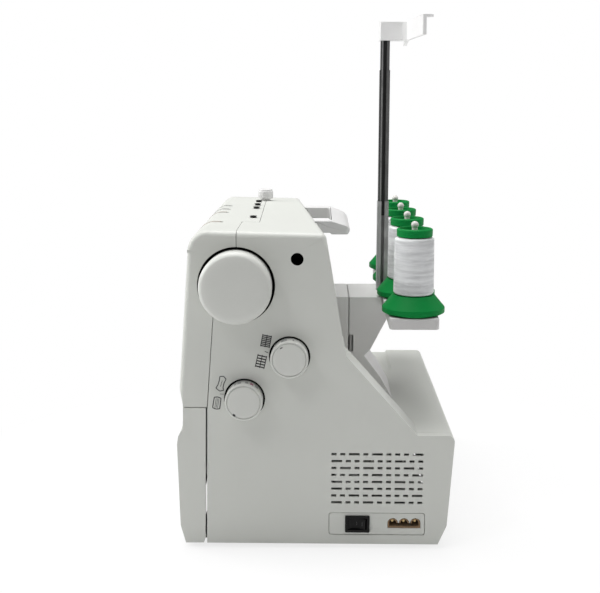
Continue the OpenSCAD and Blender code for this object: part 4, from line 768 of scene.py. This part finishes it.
knobs = {
    "stitch_length_knob": {"y": controls["stitchY"], "z": controls["stitchZ"],
                           "body": "stitch_knob", "pointer": (-6.4, 10.4, 10),
                           "rim": [(-17, 5.2, "inkSoft"), (12, 1.6, "inkSoft")]},
    "diff_feed_knob": {"y": controls["feedY"], "z": controls["feedZ"],
                       "body": "diff_knob", "pointer": (-8.4, -11.4, -38),
                       "rim": [(-27, 1.9, "inkSoft"), (-14, 3.2, "inkSoft"), (8, 2.6, "inkSoft"),
                               (25, 3.0, "inkPink"), (41, 3.4, "inkSoft")]},
}
for node, k in knobs.items():
    s = knobSettings
    stemR, stemEnd, stemTop = s["stem"]
    stem = turned([(0.0, stemEnd), (stemR, stemEnd), (stemR, stemTop), (0.0, stemTop)],
                  s["stemSteps"])
    mesh = joined(node + "_turned", [knobMesh(), stem], [finish["knob"]])
    mesh.transform(Matrix.Translation(place(rightX - s["foot"], k["y"], k["z"])) @ sideways)
    newPiece(node + "_turned", mesh, k["body"], (node,))
    py, pz, lean = k["pointer"]
    dot = plateMesh([ovalOf(*s["dot"])], s["dotThick"])
    onRight(dot, k["y"] + py, k["z"] + pz, lean, rightX + s["out"], s["dotLift"])
    markPiece(node + "_pointer", dot, "ink", k["body"])
    for number, (angle, wide, key) in enumerate(k["rim"], 1):
        markPiece("%s_rim_%d" % (node, number), rimMark(k["y"], k["z"], angle, wide), key,
                  k["body"])

# Presser pressure knob: finely ribbed, with a slot for a screwdriver

pressureSettings = {"radius": 8.4, "ribs": 36, "stepsPerRib": 6, "depth": 0.14, "ribbed": 0.2,
                    "footZ": 0.2909, "stemR": 5.2, "stem": -8.0, "sharp": 40,
                    "slot": (0.003, 0.0012), "slotThick": 0.00003, "slotSink": 0.00004}


def ribbedKnob(height):
    s = pressureSettings
    r = s["radius"]
    profile = [(0, s["stem"]), (s["stemR"], s["stem"]), (s["stemR"], 0.0), (r - 0.5, 0.0),
               (r, 0.5), (r, height - 2.6), (r - 0.1, height - 2.3), (r - 0.7, height - 2.2),
               (r - 0.8, height - 1.9), (r - 0.9, height - 0.5), (r - 1.5, height),
               (4.5, height), (0, height)]
    mesh = turned([(a / 1000, b / 1000) for a, b in profile], s["ribs"] * s["stepsPerRib"])
    for vertex in mesh.vertices:
        if math.hypot(vertex.co.x, vertex.co.y) > (r - s["ribbed"]) / 1000:
            phase = s["ribs"] * math.atan2(vertex.co.y, vertex.co.x)
            wave = 1 - s["depth"] / r * (0.5 - 0.5 * math.cos(phase))
            vertex.co.x *= wave
            vertex.co.y *= wave
    return rounded(mesh, s["sharp"])


s = pressureSettings
low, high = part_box("pressure_knob")
foot = Vector(((low.x + high.x) / 2, (low.y + high.y) / 2, s["footZ"]))
mesh = ribbedKnob((high.z - s["footZ"]) * 1000)
mesh.transform(Matrix.Translation(foot))
mesh.materials.append(finish["coverLight"])
newPiece("pressure_knob_turned", mesh, "pressure_screw",
         ("pressure_knob",))
half, wide = s["slot"]
slotLine = plateMesh([stroke((-half, 0), (half, 0), wide)], s["slotThick"])
slotLine.transform(Matrix.Translation((foot.x, foot.y, high.z - s["slotSink"])))
markPiece("pressure_knob_slot", slotLine, "inkSoft", "pressure_screw")
print("setting knobs made")

# Wound thread: close turns, with a few slack turns lying across them

threadSettings = {"lowRadius": 0.0183, "highRadius": 0.0176, "turns": 74.0, "thread": 0.00032,
                  "slackTurns": 3.3, "slackMore": 0.35, "slackThread": 0.0003, "clear": 0.00003,
                  "start": 0.0018, "shorter": 0.0034, "coreUnder": 0.0007, "bore": 0.01205}


def windingTree():
    tree = newTree("thread winding", {
        "Turns": ("NodeSocketFloat", 60.0), "Low Radius": ("NodeSocketFloat", 0.018),
        "High Radius": ("NodeSocketFloat", 0.018), "Height": ("NodeSocketFloat", 0.048),
        "Thread": ("NodeSocketFloat", 0.0004), "Slack Turns": ("NodeSocketFloat", 3.0),
        "Slack Thread": ("NodeSocketFloat", 0.0002), "Finish": ("NodeSocketMaterial", None)})
    enter = step(tree, "NodeGroupInput")
    both = step(tree, "GeometryNodeJoinGeometry")
    for turns, thread, detail, reverse in (("Turns", "Thread", 40, False),
                                           ("Slack Turns", "Slack Thread", 60, True)):
        spiral = step(tree, "GeometryNodeCurveSpiral", {}, {
            "Resolution": detail, "Rotations": enter.outputs[turns],
            "Start Radius": enter.outputs["Low Radius"],
            "End Radius": enter.outputs["High Radius"],
            "Height": enter.outputs["Height"], "Reverse": reverse})
        ring = step(tree, "GeometryNodeCurvePrimitiveCircle", {}, {
            "Resolution": 5, "Radius": enter.outputs[thread]})
        sweep = step(tree, "GeometryNodeCurveToMesh", {}, {
            "Curve": spiral.outputs["Curve"], "Profile Curve": ring.outputs["Curve"],
            "Fill Caps": True})
        smooth = step(tree, "GeometryNodeSetShadeSmooth", {}, {"Geometry": sweep.outputs["Mesh"]})
        tree.links.new(smooth.outputs["Geometry"], both.inputs[0])
    return ending(tree, enter, both.outputs["Geometry"])


def coreMesh(s, top):       # the body of the wound thread, just under the outer turns
    a, b = s["lowRadius"] - s["coreUnder"], s["highRadius"] - s["coreUnder"]
    bore = s["bore"]
    return turned([(bore, 0.0), (a - 0.0014, 0.0), (a - 0.0002, 0.0009), (a, 0.0018),
                   (b, top - 0.0018), (b - 0.0004, top - 0.0009), (b - 0.0022, top - 0.0002),
                   (bore, top - 0.0002), (bore, 0.0)])


winder = windingTree()
for number in range(1, 5):
    s = threadSettings
    low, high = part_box("thread_%d" % number)
    middle = Vector(((low.x + high.x) / 2, (low.y + high.y) / 2, low.z))
    top = high.z - low.z
    winding = grown(winder, {
        "Turns": s["turns"], "Low Radius": s["lowRadius"] - s["thread"] - s["clear"],
        "High Radius": s["highRadius"] - s["thread"] - s["clear"], "Height": top - s["shorter"],
        "Thread": s["thread"], "Slack Turns": s["slackTurns"] + s["slackMore"] * number,
        "Slack Thread": s["slackThread"], "Finish": finish["thread"]}, "winding_%d" % number)
    winding.transform(Matrix.Translation((0, 0, s["start"])))
    name = "thread_%d_wound" % number
    mesh = smoothed(joined(name, [coreMesh(s, top), winding], [finish["thread"]]))
    mesh.transform(Matrix.Translation(middle))
    newPiece(name, mesh, "reel_%d" % number, ("thread_%d" % number,))
print("threads wound")

# Printed marks on the right side: rows of dashes from one tree, fabric outlines drawn from listed
# points

def dashTree():
    tree = newTree("rows of dashes", {
        "Columns": ("NodeSocketInt", 2), "Rows": ("NodeSocketInt", 7),
        "Width": ("NodeSocketFloat", 0.004), "Height": ("NodeSocketFloat", 0.010),
        "Dash": ("NodeSocketVector", (0.004, 0.001, 0.0001)),
        "Finish": ("NodeSocketMaterial", None)})
    enter = step(tree, "NodeGroupInput")
    grid = step(tree, "GeometryNodeMeshGrid", {}, {
        "Size X": enter.outputs["Width"], "Size Y": enter.outputs["Height"],
        "Vertices X": enter.outputs["Columns"], "Vertices Y": enter.outputs["Rows"]})
    dash = step(tree, "GeometryNodeMeshCube", {}, {"Size": enter.outputs["Dash"]})
    many = step(tree, "GeometryNodeInstanceOnPoints", {}, {
        "Points": grid.outputs["Mesh"], "Instance": dash.outputs["Mesh"]})
    return ending(tree, enter, many.outputs["Instances"])


dasher = dashTree()
markSettings = {"thick": 0.00008, "line": 0.00045, "bar": 0.0008, "bars": (-0.0039, 0.0, 0.0039),
                "folds": (-0.0012, 0.0, 0.0012), "tick": 0.0007}
inkThick = markSettings["thick"]


def dashes(columns, rows, width, height, dash):
    return grown(dasher, {"Columns": columns, "Rows": rows, "Width": width, "Height": height,
                          "Dash": dash + (inkThick,), "Finish": finish["ink"]}, "dashes")


def ruled(xs, reach, width):
    return plateMesh([stroke((x, -reach), (x, reach), width) for x in xs], inkThick)


def centred(mesh):      # dashes sit about Z 0, plates start there
    mesh.transform(Matrix.Translation((0, 0, inkThick / 2)))
    return mesh


m = markSettings
denseMark = joined("dense", [centred(dashes(2, 7, 0.0040, 0.0096, (0.0036, 0.00105))),
                             ruled(m["bars"], 0.0056, m["bar"])])
openMark = joined("open", [centred(dashes(2, 5, 0.0040, 0.0100, (0.0036, 0.0012))),
                           ruled(m["bars"], 0.0060, m["bar"])])
wavy = [(-0.0022, 0.0062), (0.0010, 0.0070), (0.0036, 0.0050), (0.0026, 0.0012),
        (0.0024, -0.0030), (0.0034, -0.0056), (0.0002, -0.0070), (-0.0036, -0.0050),
        (-0.0024, -0.0016), (-0.0020, 0.0026)]
middleLine = stroke((0.0001, -0.0028), (0.0006, 0.0030), m["line"])
stretchMark = plateMesh(outlineOf(wavy, 0.00085) + [middleLine], inkThick)
gathered = [(-0.0030, 0.0050), (0.0, 0.0057), (0.0030, 0.0050), (0.0032, -0.0048),
            (0.0, -0.0056), (-0.0032, -0.0048)]
gatherMark = joined("gather", [plateMesh(outlineOf(gathered, 0.0009), inkThick),
                               ruled(m["folds"], 0.0044, m["line"])])
tickStitch = plateMesh([stroke((-0.0015, 0.0006), (0.0015, -0.0006), m["tick"])], inkThick)
tickFeed = plateMesh([stroke((-0.0017, 0.0001), (0.0017, -0.0001), m["tick"])], inkThick)
sideMarks = [("mark_dense", denseMark, -43.6, 192.9, -11.0, "ink"),
             ("mark_open", openMark, -48.2, 174.4, -13.0, "ink"),
             ("mark_stretch", stretchMark, -83.7, 154.1, -12.0, "ink"),
             ("mark_gather", gatherMark, -87.6, 136.2, -9.0, "ink"),
             ("tick_stitch", tickStitch, -43.3, 183.0, 0.0, "ink"),
             ("tick_feed", tickFeed, -83.0, 144.5, 0.0, "inkSoft")]
for name, mesh, y, z, lean, key in sideMarks:
    markPiece(name, onRight(mesh, y, z, lean), key)

# On and off marks on the rocker, which is hollowed and stands tilted

rocker = {"pinX": 156.5, "y": 37.95, "z": 23.25, "tilt": -7.0, "hollow": 13.4, "hollowX": 16.0,
          "ring": (0.0026, 0.0038, 18), "bar": 0.0019, "ringLine": 0.0005, "barLine": 0.0006,
          "thick": 0.00006, "sink": 0.00001,
          "marks": {"rocker_off": (-1.1, "0"), "rocker_on": (4.7, "I")}}
for name, (y, sign) in rocker["marks"].items():
    s = rocker
    bar = [stroke((0, -s["bar"]), (0, s["bar"]), s["barLine"])]
    ring = outlineOf(ovalOf(*s["ring"]), s["ringLine"])
    flat = plateMesh(ring if sign == "0" else bar, s["thick"])
    x = s["hollowX"] - math.sqrt(s["hollow"] ** 2 - y * y)
    onFace = Vector((x / 1000 - s["sink"], y / 1000, s["z"] / 1000))
    flat.transform(Matrix.Translation(place(s["pinX"], s["y"], 0))
                   @ Matrix.Rotation(math.radians(s["tilt"]), 4, "Z")
                   @ Matrix.Translation(onFace)
                   @ Matrix.Rotation(-math.asin(y / s["hollow"]), 4, "Z") @ sideways)
    markPiece(name, flat, "inkPale", "rocker")

# Numbers round the tension dials

dialSettings = {"xs": (-53.0, -19.0, 11.0, 92.0), "radius": 12.5, "size": 0.0042, "offset": 1.6,
                "pitch": 28.0, "front": 4, "lift": 0.01, "ink": 0.00004, "detail": 3}


def digitMesh(sign):
    curve = bpy.data.curves.new("digit", "FONT")
    curve.body = sign
    curve.size = dialSettings["size"]
    curve.align_x = "CENTER"
    curve.align_y = "CENTER"
    curve.extrude = dialSettings["ink"]
    curve.resolution_u = dialSettings["detail"]
    return settled(linked("digit", curve))


for number, x in enumerate(dialSettings["xs"], 1):
    s = dialSettings
    low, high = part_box("tension_dial_%d" % number)
    axisY, axisZ = (low.y + high.y) / 2 * 1000, (low.z + high.z) / 2 * 1000
    digits = []
    for k in range(10):
        mesh = digitMesh(str(k))
        for vertex in mesh.vertices:
            angle = math.radians((k - s["front"]) * s["pitch"]) + vertex.co.y * 1000 / s["radius"]
            r = s["radius"] + vertex.co.z * 1000 + s["lift"]
            vertex.co = place(x + s["offset"] + vertex.co.x * 1000, axisY - r * math.cos(angle),
                              axisZ + r * math.sin(angle))
        digits.append(mesh)
    markPiece("dial_%d_numbers" % number, joined("numbers", digits), "ink", "dial_%d" % number)

# A printed line on both sides of each thread slot, over the rounded front edge

slotLines = {"radius": 18.0, "midY": -93.4, "midZ": 272.0, "from": 172.0, "steps": 16,
             "off": 1.9, "wide": 0.45, "ink": 0.05, "ends": (-91.2, -90.4, -89.8, -88.0),
             "inks": ("inkSoft", "inkSoft", "inkWarm", "inkWarm")}


def slotLine3d(x, endY):
    s = slotLines
    path = []
    for k in range(s["steps"] + 1):
        a = math.radians(s["from"] + (90 - s["from"]) * k / s["steps"])
        ny, nz = math.cos(a), math.sin(a)
        path.append((s["midY"] + s["radius"] * ny, s["midZ"] + s["radius"] * nz, ny, nz))
    path.append((endY, s["midZ"] + s["radius"], 0.0, 1.0))
    half, ink = s["wide"] / 2, s["ink"]
    corners = ((-half, -ink), (-half, ink), (half, ink), (half, -ink))
    return tube("slot line", [[place(x + side, y + ny * t, z + nz * t) for side, t in corners]
                              for y, z, ny, nz in path])


for number, (x, endY, key) in enumerate(zip(dialSettings["xs"], slotLines["ends"],
                                            slotLines["inks"]), 1):
    pair = [slotLine3d(x + side * slotLines["off"], endY) for side in (-1, 1)]
    markPiece("slot_lines_%d" % number, joined("lines", pair), key)
print("marks made")


# Camera, floor and light

cameraSettings = {"lens": 61.98, "sensor": 36.0, "near": 0.01, "pitch": 10.93, "yaw": 1.089,
                  "at": (1.030, 0.002845, 0.402698)}


def setCamera():
    s = cameraSettings
    data = bpy.data.cameras.new("view")
    data.lens = s["lens"]
    data.sensor_width = s["sensor"]
    data.sensor_fit = "HORIZONTAL"
    data.clip_start = s["near"]
    camera = linked("view", data)
    pitch, yaw = math.radians(s["pitch"]), math.radians(s["yaw"])
    forward = Vector((-math.cos(pitch) * math.cos(yaw), -math.cos(pitch) * math.sin(yaw),
                      -math.sin(pitch)))
    right = Vector((-math.sin(yaw), math.cos(yaw), 0.0))
    up = right.cross(forward)
    turn = Matrix((right, up, -forward)).transposed().to_4x4()
    camera.matrix_world = Matrix.Translation(s["at"]) @ turn
    bpy.context.scene.camera = camera


white = (1, 1, 1, 1)
floorSettings = {"share": 0.78, "near": 0.18, "far": 0.42, "size": 6.0, "under": 0.0001,
                 "colour": tone(0.85)}


def floorFinish():
    # The floor shows white to the eye and in gloss, and still takes the shadow near the machine
    s = floorSettings
    p = Paint("floor pale")
    rays = p.tree.nodes.new("ShaderNodeLightPath")
    seen = p.math("MAXIMUM", Value(p, rays.outputs["Is Camera Ray"]),
                  Value(p, rays.outputs["Is Glossy Ray"]))
    seen = p.math("MAXIMUM", seen, Value(p, rays.outputs["Is Transmission Ray"]))
    away = p.add("ShaderNodeVectorMath", {"operation": "LENGTH"}, {0: p.coords()}, "Value")
    rise = p.clamp((away - s["near"]) / (s["far"] - s["near"]))
    share = rise * (1 - s["share"]) + s["share"]
    matte = p.add("ShaderNodeBsdfDiffuse", {}, {"Color": s["colour"]})
    glow = p.add("ShaderNodeEmission", {}, {"Color": white, "Strength": 1.0})
    both = p.add("ShaderNodeMixShader", {}, {0: seen * share, 1: matte, 2: glow})
    p.add("ShaderNodeOutputMaterial", {}, {"Surface": both})
    return p.material


def setFloor():
    mesh = bpy.data.meshes.new("floor")
    s, z = floorSettings["size"], -floorSettings["under"]
    mesh.from_pydata([(-s, -s, z), (s, -s, z), (s, s, z), (-s, s, z)], [], [(0, 1, 2, 3)])
    mesh.materials.append(floorFinish())
    floor = linked("floor", mesh)


def areaLight(name, at, aim, size, power):
    data = bpy.data.lights.new(name, "AREA")
    data.shape = "RECTANGLE"
    data.size, data.size_y = size
    data.energy = power
    lamp = linked(name, data)
    lamp.location = at
    lamp.rotation_euler = (Vector(aim) - Vector(at)).to_track_quat("-Z", "Y").to_euler()


def setWorld(ambient):      # white to the eye, dimmer as a source of light
    world = bpy.data.worlds.new("room")
    bpy.context.scene.world = world
    world.use_nodes = True
    tree = world.node_tree
    tree.nodes.clear()
    rays = step(tree, "ShaderNodeLightPath")
    seen = step(tree, "ShaderNodeMath", {"operation": "MAXIMUM"}, {
        0: rays.outputs["Is Camera Ray"], 1: rays.outputs["Is Transmission Ray"]})
    dim = step(tree, "ShaderNodeBackground", {}, {"Color": white, "Strength": ambient})
    bright = step(tree, "ShaderNodeBackground", {}, {"Color": white, "Strength": 1.0})
    both = step(tree, "ShaderNodeMixShader", {}, {
        0: seen.outputs[0], 1: dim.outputs[0], 2: bright.outputs[0]})
    step(tree, "ShaderNodeOutputWorld", {}, {"Surface": both.outputs[0]})


roomLight = 0.29
lamps = {
    "overhead": {"at": (-0.15, -0.10, 1.9), "aim": (0, 0, 0.25), "size": (1.4, 1.4), "power": 34.0},
    "key": {"at": (0.90, -1.0, 1.6), "aim": (0.1, 0, 0.2), "size": (0.4, 0.4), "power": 5.8},
    "left soft": {"at": (-0.25, -1.5, 0.9), "aim": (0, 0, 0.3), "size": (1.0, 1.0), "power": 17.0},
    "right soft": {"at": (-0.10, 1.5, 0.8), "aim": (0, 0, 0.2), "size": (1.0, 1.0), "power": 6.0},
}
setCamera()
setFloor()
setWorld(roomLight)
for name, settings in lamps.items():
    areaLight(name, **settings)
bpy.context.scene.view_settings.view_transform = "Standard"
print("camera, floor and light set")

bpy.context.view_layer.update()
